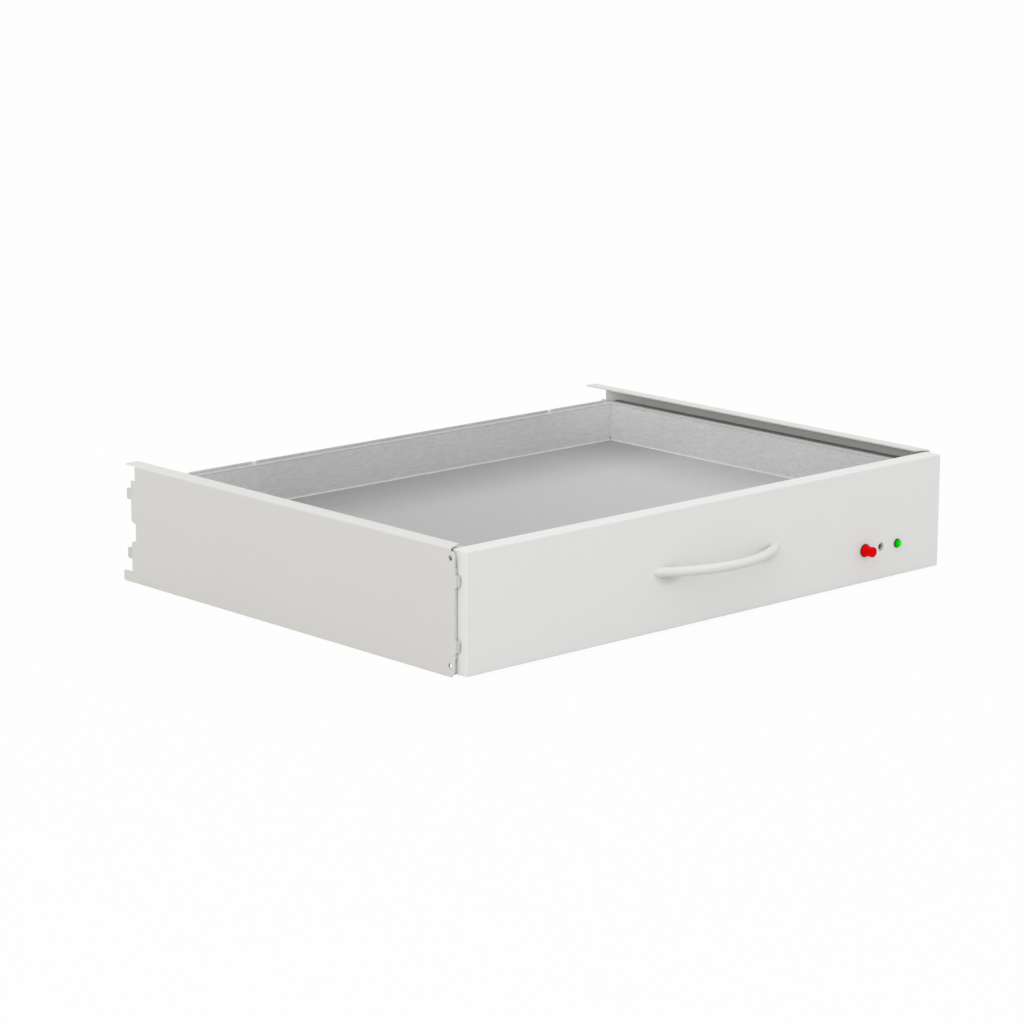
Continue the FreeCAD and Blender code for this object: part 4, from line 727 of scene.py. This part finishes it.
def studio_floor():
    """Large pale floor; the camera sees it as white with only a trace of its shadow."""
    half = 30.0
    mesh = bpy.data.meshes.new("studio_floor")
    corners = [(-half, -half, 0), (half, -half, 0), (half, half, 0), (-half, half, 0)]
    mesh.from_pydata(corners, [], [(0, 1, 2, 3)])
    material = bpy.data.materials.new("studio_floor")
    material.use_nodes = True
    nodes = material.node_tree.nodes
    diffuse = nodes["Principled BSDF"]
    diffuse.inputs["Base Color"].default_value = (0.74, 0.74, 0.74, 1)
    diffuse.inputs["Roughness"].default_value = 0.9
    glow = nodes.new("ShaderNodeEmission")
    glow.inputs["Strength"].default_value = 1
    seen_as(material.node_tree, diffuse, glow, FLOOR_GLOW, "Material Output")
    mesh.materials.append(material)
    return bpy.data.objects.new("studio_floor", mesh)


def key_light():
    """Wide soft light from high on the left, aimed at the drawer."""
    light = bpy.data.lights.new("key_light", "AREA")
    light.shape = "DISK"
    light.size = 4.5
    light.energy = 52
    holder = bpy.data.objects.new("key_light", light)
    holder.location = (-4.3, -2.3, 3.8)
    aim = Vector((0, 0, 0.05)) - holder.location
    holder.rotation_euler = aim.to_track_quat("-Z", "Y").to_euler()
    return holder


def drawer_camera():
    """Camera from the fitted angles: it looks along forward, and the image's middle is offset by pixels."""
    level_reach = math.cos(CAMERA_PITCH)
    forward = Vector((math.sin(CAMERA_YAW) * level_reach, math.cos(CAMERA_YAW) * level_reach,
                      -math.sin(CAMERA_PITCH)))
    level = Vector((math.cos(CAMERA_YAW), -math.sin(CAMERA_YAW), 0))
    upward = level.cross(forward)
    right = level * math.cos(CAMERA_ROLL) + upward * math.sin(CAMERA_ROLL)
    up = upward * math.cos(CAMERA_ROLL) - level * math.sin(CAMERA_ROLL)
    per_pixel = CAMERA_DISTANCE / CAMERA_FOCAL_PIXELS
    front_low, front_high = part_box("front_panel")
    corner = Vector(((front_low.x + front_high.x) / 2, front_low.y, front_low.z))
    place = corner - (forward * CAMERA_DISTANCE + right * CAMERA_SIDE_PIXELS * per_pixel
                      - up * CAMERA_RISE_PIXELS * per_pixel)
    data = bpy.data.cameras.new("drawer_camera")
    data.sensor_width = SENSOR_WIDTH
    data.lens = CAMERA_FOCAL_PIXELS / IMAGE_PIXELS * SENSOR_WIDTH
    data.clip_end = 100
    camera = bpy.data.objects.new("drawer_camera", data)
    axes = Matrix((right, up, -forward)).transposed()
    camera.matrix_world = Matrix.Translation(place) @ axes.to_4x4()
    bpy.context.scene.collection.objects.link(camera)
    return camera


class DRAWER_OT_panels(bpy.types.Operator):
    """Paint on the front panel, the side panels and the rear cross rail, with painted shadows under the
    handle's feet and a painted highlight on the side panels' top flanges
    """

    bl_idname = "drawer.panels"
    bl_label = "Painted panels"

    def execute(self, context):
        finish, sizes = settings()
        # Painted shadows under the handle's feet, on the front panel
        foot_across = sizes.handle_half_chord - FOOT_SHADE_INSET
        foot_up = node_centre("handle").z - sizes.handle_radius - FOOT_SHADE_DROP
        feet = [(-foot_across, foot_up), (foot_across, foot_up)]
        front_coat = powder_coat("front_coat", finish.front_paint, finish.paint_roughness, feet=feet)
        coat(front_coat, "front_panel")
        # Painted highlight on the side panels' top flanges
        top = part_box("left_side_panel")[1].z
        fade = (WHITE, FLANGE_PAINTED_HIGHLIGHT, *(top - depth for depth in FLANGE_PAINTED_HIGHLIGHT_DEPTHS))
        side_coat = powder_coat("side_coat", finish.side_paint, finish.paint_roughness, fade=fade)
        coat(side_coat, "left_side_panel", "right_side_panel", "rear_cross_rail")
        return {"FINISHED"}


class DRAWER_OT_handle(bpy.types.Operator):
    """Round bar bent to an arc, in a slightly darker and glossier paint than the front, with a painted
    shade on its underside
    """

    bl_idname = "drawer.handle"
    bl_label = "Handle"

    def execute(self, context):
        finish, sizes = settings()
        height = node_centre("handle").z
        radius = sizes.handle_radius
        # Painted shade that darkens the bar downwards from above its middle to its underside
        fade = (BLACK, BAR_SHADE, height + BAR_SHADE_START * radius, height - radius)
        colour = shade(finish.front_paint, 0.965)
        paint = powder_coat("handle_coat", colour, finish.paint_roughness - 0.14, gloss=0.6, fade=fade)
        points, faces = handle_bar(sizes)
        piece = new_piece("handle_bar", points, faces, paint, "drawer")
        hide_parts("handle")
        return {"FINISHED"}


def handle_bar(sizes):
    """A circle carried along an arc, each line of it as far as the panel's face.

    The arc has the radius (chord^2 + bow^2) / (2 * bow) and its middle lies bow in front of the panel. A
    line at the distance d from the arc's centre turns by acos((radius - bow) / d) to each side.
    """
    chord, bow, radius = sizes.handle_half_chord, sizes.handle_bow, sizes.handle_radius
    bend = (chord ** 2 + bow ** 2) / (2 * bow)
    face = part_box("front_panel")[0].y
    height = node_centre("handle").z
    segments = 48
    stations = 81
    around = np.linspace(0, FULL_TURN, segments, endpoint=False)[None]
    distance = bend + radius * np.cos(around)
    turn = np.linspace(-1, 1, stations)[:, None] * np.arccos((bend - bow) / distance)
    across = distance * np.sin(turn)
    out = face + bend - bow - distance * np.cos(turn)
    up = height + radius * np.sin(around) + 0 * turn
    return np.stack([across, out, up], axis=-1), tube_faces(stations, segments)


class DRAWER_OT_knob(bpy.types.Operator):
    """Thermostat knob with a waist and a fluted head, and the rubber seals of the knob and the lamp"""

    bl_idname = "drawer.knob"
    bl_label = "Knob"

    def execute(self, context):
        finish, sizes = settings()
        red = moulded_plastic("knob_plastic", finish.knob, 0.42, grain=1300, depth=6 * MICROMETRE,
                              Specular_IOR_Level=0.03)
        radius, length, base = round_box("control_knob")
        waist = radius * KNOB_WAIST / KNOB_SKIRT
        head = radius * KNOB_HEAD / KNOB_SKIRT
        recess = length - 0.3 * MILLIMETRE
        outline = rounded_profile((
            (length * 0.6, 0, 0),
            (length * 0.6, KNOB_BORE, 0),
            (0, KNOB_BORE, 0.3 * MILLIMETRE),
            (0, radius, 0.4 * MILLIMETRE),
            (length * 0.163, radius, MILLIMETRE),
            (length * 0.175, waist, 1.2 * MILLIMETRE),
            (length * 0.65, waist, 6 * MILLIMETRE),
            (length, head, 1.8 * MILLIMETRE),
            (length, head * 0.62, 0.3 * MILLIMETRE),
            (recess, head * 0.55, 0.4 * MILLIMETRE),
            (recess, 0, 0),
        ))

        def grip(angle, along, reach):
            """Shallow flutes round the head, which fade in from the waist."""
            on_head = np.clip((along / length - 0.55) * 8, 0, 1) * (reach > head * 0.8)
            return 1 + KNOB_FLUTE_DEPTH * on_head * (np.cos(KNOB_FLUTES * angle) - 1)

        piece = turned_piece("knob", outline, base, OUTWARDS, red, "knob",
                             4 * sizes.round_segments, grip)
        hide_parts("control_knob")
        rubber = soft_rubber("seal_rubber", BLACK_RUBBER, 0.62)
        rubber_ring("knob_seal", "spindle_seal", 0.42, rubber)
        rubber_ring("lamp_seal", "lamp_gasket", 0.8, rubber)
        return {"FINISHED"}


def rubber_ring(name, node, bore_share, rubber):
    """A flat ring with rounded edges, its bore a share of its radius."""
    radius, depth, base = round_box(node)
    edge = depth * 0.35
    outline = ring_outline(radius * bore_share, radius, depth, edge / 2, edge)
    piece = turned_piece(name, outline, base, OUTWARDS, rubber, "drawer", segments=96)
    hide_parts(node)


class DRAWER_OT_lamp(bpy.types.Operator):
    """Pilot lamp with its domed lens, reset button in its bush, cable gland and the controls' bodies"""

    bl_idname = "drawer.lamp"
    bl_label = "Pilot lamp and reset"

    def execute(self, context):
        finish, sizes = settings()
        radius, height, base = round_box("lamp_lens")
        flange = height * 0.22
        edge = 0.3 * MILLIMETRE
        angle = np.linspace(math.pi / 2, 0, 24)
        dome = flange + (height - flange) * np.cos(angle)
        cap = np.stack([dome, radius * 0.96 * np.sin(angle)], axis=-1)
        rim = rounded_profile(((0, 0, 0), (0, radius, edge), (flange, radius, edge),
                               (flange, radius * 0.97, 0)))
        lens = lens_plastic("lamp_lens_plastic", tuple(finish.lens), base, radius)
        piece = turned_piece("lamp_dome", np.concatenate([rim, cap]), base, OUTWARDS, lens, "drawer",
                             sizes.round_segments)
        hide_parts("lamp_lens")
        black = moulded_plastic("black_plastic", (0.045, 0.045, 0.046), 0.45)
        coat(black, "lamp_body", "thermostat_body", "limiter_body")
        grey = moulded_plastic("grey_plastic", (0.62, 0.62, 0.60), 0.5)
        coat(grey, "lamp_nut", "gland_nut")
        reset_bush(grey, sizes.round_segments)
        reset_button(black, sizes.round_segments)
        inlet_gland(grey)
        return {"FINISHED"}


def reset_bush(plastic, segments):
    """Tube in the panel's hole with a rounded lip."""
    radius, length, base = round_box("reset_bush")
    outline = ring_outline(radius - BUSH_WALL, radius, length, 0, BUSH_LIP)
    piece = turned_piece("reset_bush_tube", outline, base, OUTWARDS, plastic, "drawer",
                         segments)
    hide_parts("reset_bush")


def reset_button(plastic, segments):
    """Round button whose face is dished: the depth is DISH_DEPTH * (1 - (reach / DISH_SHARE)^2)."""
    radius, length, base = round_box("reset_button")
    reach = np.linspace(DISH_SHARE, 0, 12)
    depth = DISH_DEPTH * (1 - (reach / DISH_SHARE) ** 2)
    dish = np.stack([length - depth, radius * reach], axis=-1)
    side = rounded_profile(((0, 0, 0), (0, radius, 0.2 * MILLIMETRE), (length, radius, 0.4 * MILLIMETRE),
                            (length, radius * DISH_SHARE, 0)))
    piece = turned_piece("reset_cap", np.concatenate([side[:-1], dish]), base, OUTWARDS, plastic, "reset",
                         segments)
    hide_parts("reset_button")


def inlet_gland(plastic):
    """Cable gland: threaded neck, hexagon with bevelled corners, ribbed cap and an open bore."""
    low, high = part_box("inlet_gland")
    flat = (high.z - low.z) / 2
    length = high.y - low.y
    thread = length * GLAND_THREAD_END / GLAND_LENGTH
    cap_start = length * GLAND_CAP_START / GLAND_LENGTH
    bore = flat * GLAND_BORE / GLAND_HALF_FLATS
    thread_radius = flat * GLAND_THREAD_RADIUS / GLAND_HALF_FLATS
    neck = np.linspace(0.4 * MILLIMETRE, thread, 41)
    thread_line = np.stack([neck, thread_radius + 0 * neck], axis=-1)
    body = rounded_profile((
        (thread, thread_radius, 0),
        (thread, flat * 0.96, 0),
        (thread + 0.6 * MILLIMETRE, flat, 0),
        (cap_start - MILLIMETRE, flat, 0),
        (cap_start - 0.2 * MILLIMETRE, flat * 0.94, 0.3 * MILLIMETRE),
        (cap_start + 0.4 * MILLIMETRE, flat * 0.86, 0),
        (cap_start + MILLIMETRE, flat * 0.885, 0),
        (length * 0.80, flat * 0.80, MILLIMETRE),
        (length, flat * 0.66, 1.6 * MILLIMETRE),
        (length, bore, 0.8 * MILLIMETRE),
        (length * 0.5, bore, 0),
        (0, bore, 0),
    ))
    outline = np.concatenate([[(0, flat * 0.62)], thread_line, body[1:]])

    def shape(angle, along, reach):
        """Hexagon in the middle, ribs on the cap that fade towards its end, a helix on the neck."""
        outside = reach > bore * 1.02
        nut = (along > thread * 1.001) * (along < cap_start) * outside
        cap = (along > cap_start) * outside * np.clip((length - along) / (length * 0.2), 0, 1)
        neck = (along < thread) * (along > 0) * outside
        from_flat = np.mod(angle, FULL_TURN / 6) - FULL_TURN / 12
        hexagon = 1 / np.cos(from_flat)
        ribs = GLAND_RIB_DEPTH * (np.cos(GLAND_RIBS * angle) - 1)
        helix = GLAND_THREAD_DEPTH * (np.cos(angle - FULL_TURN * along / GLAND_PITCH) - 1)
        return 1 + nut * (hexagon - 1) + cap * ribs + neck * helix

    centre = face_middles("inlet_gland", (0.5, 0, 0.5))
    piece = turned_piece("gland_cap", outline, centre, REARWARDS, plastic, "drawer",
                         segments=192, wobble=shape, sharp=math.radians(25))
    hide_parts("inlet_gland")


class DRAWER_OT_pan(bpy.types.Operator):
    """Stainless tray, casing, heat spreader, reflector, clamps and the rim's seal"""

    bl_idname = "drawer.pan"
    bl_label = "Tray and casing"

    def execute(self, context):
        finish, _ = settings()
        steel = tuple(finish.steel)
        low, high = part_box("tray")
        basin = (high.x - TRAY_RIM_WIDTH, low.y + TRAY_RIM_WIDTH, high.y - TRAY_RIM_WIDTH, high.z)
        coat(brushed_steel("tray_steel", steel, finish.steel_roughness, basin=basin), "tray")
        coat(brushed_steel("casing_steel", shade(steel, 0.95), finish.steel_roughness + 0.04), "casing",
             "casing_back")
        coat(brushed_steel("inner_steel", shade(steel, 0.85), 0.38), "heat_spreader", "reflector_plate",
             "element_clamps")
        coat(soft_rubber("gasket_silicone", (0.55, 0.54, 0.52), 0.6), "rim_gasket")
        return {"FINISHED"}


class DRAWER_OT_zinc(bpy.types.Operator):
    """Zinc plated sheet: hook strips, tie bar, liner, base plate, bulkhead, duct and bracket"""

    bl_idname = "drawer.zinc"
    bl_label = "Zinc plated sheet"

    def execute(self, context):
        finish, _ = settings()
        zinc = zinc_plate("zinc_sheet", tuple(finish.zinc), 0.42)
        coat(zinc, "front_tie_bar", "front_liner", "base_plate", "thermostat_bracket", "service_bulkhead",
             "cable_duct")
        coat(zinc_plate("hook_zinc", shade(finish.zinc, 1.3), 0.5, metal=0.2), "left_front_hook_strip",
             "left_rear_hook_strip", "right_front_hook_strip", "right_rear_hook_strip")
        return {"FINISHED"}


class DRAWER_OT_rails(bpy.types.Operator):
    """Telescopic rails with rolled corners, their cages and balls, and the rubber stops behind them"""

    bl_idname = "drawer.rails"
    bl_label = "Telescopic rails"

    def execute(self, context):
        finish, _ = settings()
        rail = drawn_steel("rail_steel", tuple(finish.rail), 0.36)
        # Outer rails take a darkened copy of the rail steel, a painted shade that stands for the shade in
        # the gap above the tray's rim
        shade_darkened_rail = drawn_steel("shade_darkened_rail_steel", shade(finish.rail, 0.42), 0.3)
        for side in ("left", "right"):
            rolled_rail(side + "_outer_rail", True, shade_darkened_rail, "cabinet_sides")
            rolled_rail(side + "_middle_rail", True, rail, "middle_rails")
            rolled_rail(side + "_inner_rail", False, rail, "drawer")
        coat(zinc_plate("cage_steel", tuple(finish.zinc), 0.35, spangle=300), "outer_cages", "inner_cages")
        coat(turned_steel("ball_steel", (0.74, 0.74, 0.75), 0.16), "outer_balls", "inner_balls")
        rubber_stops(soft_rubber("stop_rubber", BLACK_RUBBER, 0.62))
        return {"FINISHED"}


def rolled_rail(node, web_outside, steel, body):
    """A channel of thin sheet with rounded bends, its web on the cabinet's side or on the drawer's side."""
    low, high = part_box(node)
    outwards = math.copysign(1, low.x + high.x)
    far, near = (high.x, low.x) if outwards > 0 else (low.x, high.x)
    web, tip = (far, near) if web_outside else (near, far)
    inwards = math.copysign(1, tip - web)
    inner_web = web + inwards * RAIL_SHEET
    outline = rounded_loop((
        (web, low.z, RAIL_OUTER_BEND),
        (web, high.z, RAIL_OUTER_BEND),
        (tip, high.z, RAIL_EDGE),
        (tip, high.z - RAIL_SHEET, RAIL_EDGE),
        (inner_web, high.z - RAIL_SHEET, RAIL_INNER_BEND),
        (inner_web, low.z + RAIL_SHEET, RAIL_INNER_BEND),
        (tip, low.z + RAIL_SHEET, RAIL_EDGE),
        (tip, low.z, RAIL_EDGE),
    ))
    piece = drawn_piece(node + "_channel", outline, low.y, high.y, steel, body)
    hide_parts(node)


def rubber_stops(rubber):
    """Two stops with a foot, a waist and a rounded nose with a moulded hollow."""
    low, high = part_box("rear_buffers")
    radius = (high.z - low.z) / 2
    length = high.y - low.y
    share = radius / (high.x - low.x)
    waist = radius * 0.76
    hollow = length * 0.90
    outline = rounded_profile((
        (0, 0, 0),
        (0, radius, 0.4 * MILLIMETRE),
        (length * 0.16, radius, 0.8 * MILLIMETRE),
        (length * 0.26, waist, 2 * MILLIMETRE),
        (length * 0.52, waist, 3 * MILLIMETRE),
        (length * 0.72, radius * 0.97, 3 * MILLIMETRE),
        (length, radius * 0.86, 2.2 * MILLIMETRE),
        (length, radius * 0.34, 0.6 * MILLIMETRE),
        (hollow, radius * 0.26, 0.6 * MILLIMETRE),
        (hollow, 0, 0),
    ), steps=8)
    places = face_middles("rear_buffers", (share, 1, 0.5), (1 - share, 1, 0.5))
    piece = turned_piece("rubber_stops", outline, places, OUTWARDS, rubber, "cabinet_sides",
                         segments=64)
    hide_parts("rear_buffers")


class DRAWER_OT_heating(bpy.types.Operator):
    """Heating element, sensor, leads, terminal block and insulation"""

    bl_idname = "drawer.heating"
    bl_label = "Heating and insulation"

    def execute(self, context):
        coat(heated_sheath("element_sheath", (0.33, 0.32, 0.30)), "heating_element")
        coat(turned_steel("sensor_copper", (0.66, 0.33, 0.20), 0.3), "heat_sensor")
        coat(woven_sleeve("lead_sleeve", (0.34, 0.05, 0.04)), "internal_leads")
        coat(moulded_plastic("block_plastic", (0.72, 0.70, 0.62), 0.5), "terminal_block")
        coat(mineral_wool("mineral_wool", (0.62, 0.56, 0.38)), "floor_insulation", "wall_insulation",
             "front_insulation")
        return {"FINISHED"}


class DRAWER_OT_screws(bpy.types.Operator):
    """Pan head screws with a six lobed socket and a rolled thread, and the plated stud and spindle"""

    bl_idname = "drawer.screws"
    bl_label = "Screws"

    def execute(self, context):
        plated = turned_steel("screw_steel", (0.60, 0.60, 0.60), 0.3)
        coat(plated, "earth_stud", "thermostat_spindle")
        head = SCREW_HEAD_DEPTH
        low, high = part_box("base_plate_screws")
        rows = screw_row(low.y, high.y, 3)
        places = [(x, y, low.z + head) for x in screw_row(low.x, high.x, 2) for y in rows]
        pan_screws("base_screws", "base_plate_screws", places, (0, 0, -1), high.z - low.z, plated)
        low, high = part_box("front_panel_screws")
        rows = screw_row(low.z, high.z, 2)
        places = [(x, high.y - head, z) for x in screw_row(low.x, high.x, 2) for z in rows]
        pan_screws("panel_screws", "front_panel_screws", places, REARWARDS, high.y - low.y, plated)
        low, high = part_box("handle_screws")
        places = [(x, high.y - head, (low.z + high.z) / 2) for x in screw_row(low.x, high.x, 2)]
        pan_screws("bar_screws", "handle_screws", places, REARWARDS, high.y - low.y, plated)
        rail_screws(plated)
        return {"FINISHED"}


def screw_row(low, high, count):
    """Middles of screws whose heads fill a side of a box from low to high."""
    return np.linspace(low + SCREW_HEAD_RADIUS, high - SCREW_HEAD_RADIUS, count)


def rail_screws(plated):
    """Screws that hold the inner rails: their heads stand outwards on both sides."""
    low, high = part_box("inner_rail_screws")
    height = (low.z + high.z) / 2
    length = SCREW_HEAD_DEPTH + RAIL_SCREW_LENGTH
    for name, side, head_end in (("left_rail_screws", -1, low.x), ("right_rail_screws", 1, high.x)):
        seat = head_end - side * SCREW_HEAD_DEPTH
        places = [(seat, y, height) for y in screw_row(low.y, high.y, 3)]
        pan_screws(name, "inner_rail_screws", places, (side, 0, 0), length, plated)


def screw_profile(length):
    """Half section of a pan head screw, from under its head: tip, thread, domed head and socket."""
    shank = SCREW_HEAD_DEPTH - length
    thread = np.linspace(shank + 0.5 * MILLIMETRE, -0.2 * MILLIMETRE, 8 * int(-shank / SCREW_PITCH))
    shaft = np.stack([thread, SCREW_RADIUS + 0 * thread], axis=-1)
    head = rounded_profile((
        (-0.1 * MILLIMETRE, SCREW_RADIUS, 0),
        (0, SCREW_RADIUS * 1.02, 0),
        (0, SCREW_HEAD_RADIUS, 0.3 * MILLIMETRE),
        (SCREW_HEAD_DEPTH * 0.45, SCREW_HEAD_RADIUS, 0.9 * MILLIMETRE),
        (SCREW_HEAD_DEPTH, SCREW_HEAD_RADIUS * 0.6, 1.2 * MILLIMETRE),
        (SCREW_HEAD_DEPTH, SCREW_SOCKET_RADIUS, 0),
        (SCREW_HEAD_DEPTH * 0.4, SCREW_SOCKET_RADIUS * 0.96, 0),
        (SCREW_HEAD_DEPTH * 0.35, 0, 0),
    ))
    return np.concatenate([[(shank, 0), (shank, SCREW_RADIUS * 0.7)], shaft, head])


def screw_shape(angle, along, reach):
    """A helix below the head, and lobes round the socket inside it."""
    threaded = (along < -0.15 * MILLIMETRE) * (reach > SCREW_RADIUS * 0.9)
    socket = (along > 0) * (reach < SCREW_SOCKET_RADIUS * 1.05)
    helix = SCREW_THREAD_DEPTH * (np.cos(angle - FULL_TURN * along / SCREW_PITCH) - 1)
    return 1 + threaded * helix + socket * SCREW_LOBE_DEPTH * np.cos(SCREW_LOBES * angle)


def pan_screws(name, node, places, direction, length, plated):
    """Screws in place of a node: places are under their heads, direction is where the heads face."""
    piece = turned_piece(name, screw_profile(length), places, direction, plated, "drawer",
                         SCREW_SEGMENTS, screw_shape)
    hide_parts(node)


STEPS = ("studio", "panels", "handle", "knob", "lamp", "pan", "zinc", "rails", "heating", "screws")


class DRAWER_PT_panel(bpy.types.Panel):
    """Lists the finishes, the sizes and one button for each group of pieces"""

    bl_idname = "DRAWER_PT_panel"
    bl_label = "Warming drawer"
    bl_space_type = "VIEW_3D"
    bl_region_type = "UI"
    bl_category = "Warming drawer"

    def draw(self, context):
        for group in settings():
            for key in group.bl_rna.properties.keys():
                if key not in ("rna_type", "name"):
                    self.layout.prop(group, key)
        for step in STEPS:
            self.layout.operator("drawer." + step)


CLASSES = (DrawerFinish, DrawerSizes, DRAWER_OT_studio, DRAWER_OT_panels, DRAWER_OT_handle,
           DRAWER_OT_knob, DRAWER_OT_lamp, DRAWER_OT_pan, DRAWER_OT_zinc, DRAWER_OT_rails,
           DRAWER_OT_heating, DRAWER_OT_screws, DRAWER_PT_panel)


def register():
    for each in CLASSES:
        bpy.utils.register_class(each)
    bpy.types.Scene.drawer_finish = PointerProperty(type=DrawerFinish)
    bpy.types.Scene.drawer_sizes = PointerProperty(type=DrawerSizes)


def unregister():
    del bpy.types.Scene.drawer_sizes
    del bpy.types.Scene.drawer_finish
    for each in reversed(CLASSES):
        bpy.utils.unregister_class(each)


def main():
    register()
    for step in STEPS:
        getattr(bpy.ops.drawer, step)()


if __name__ == "__main__":
    main()
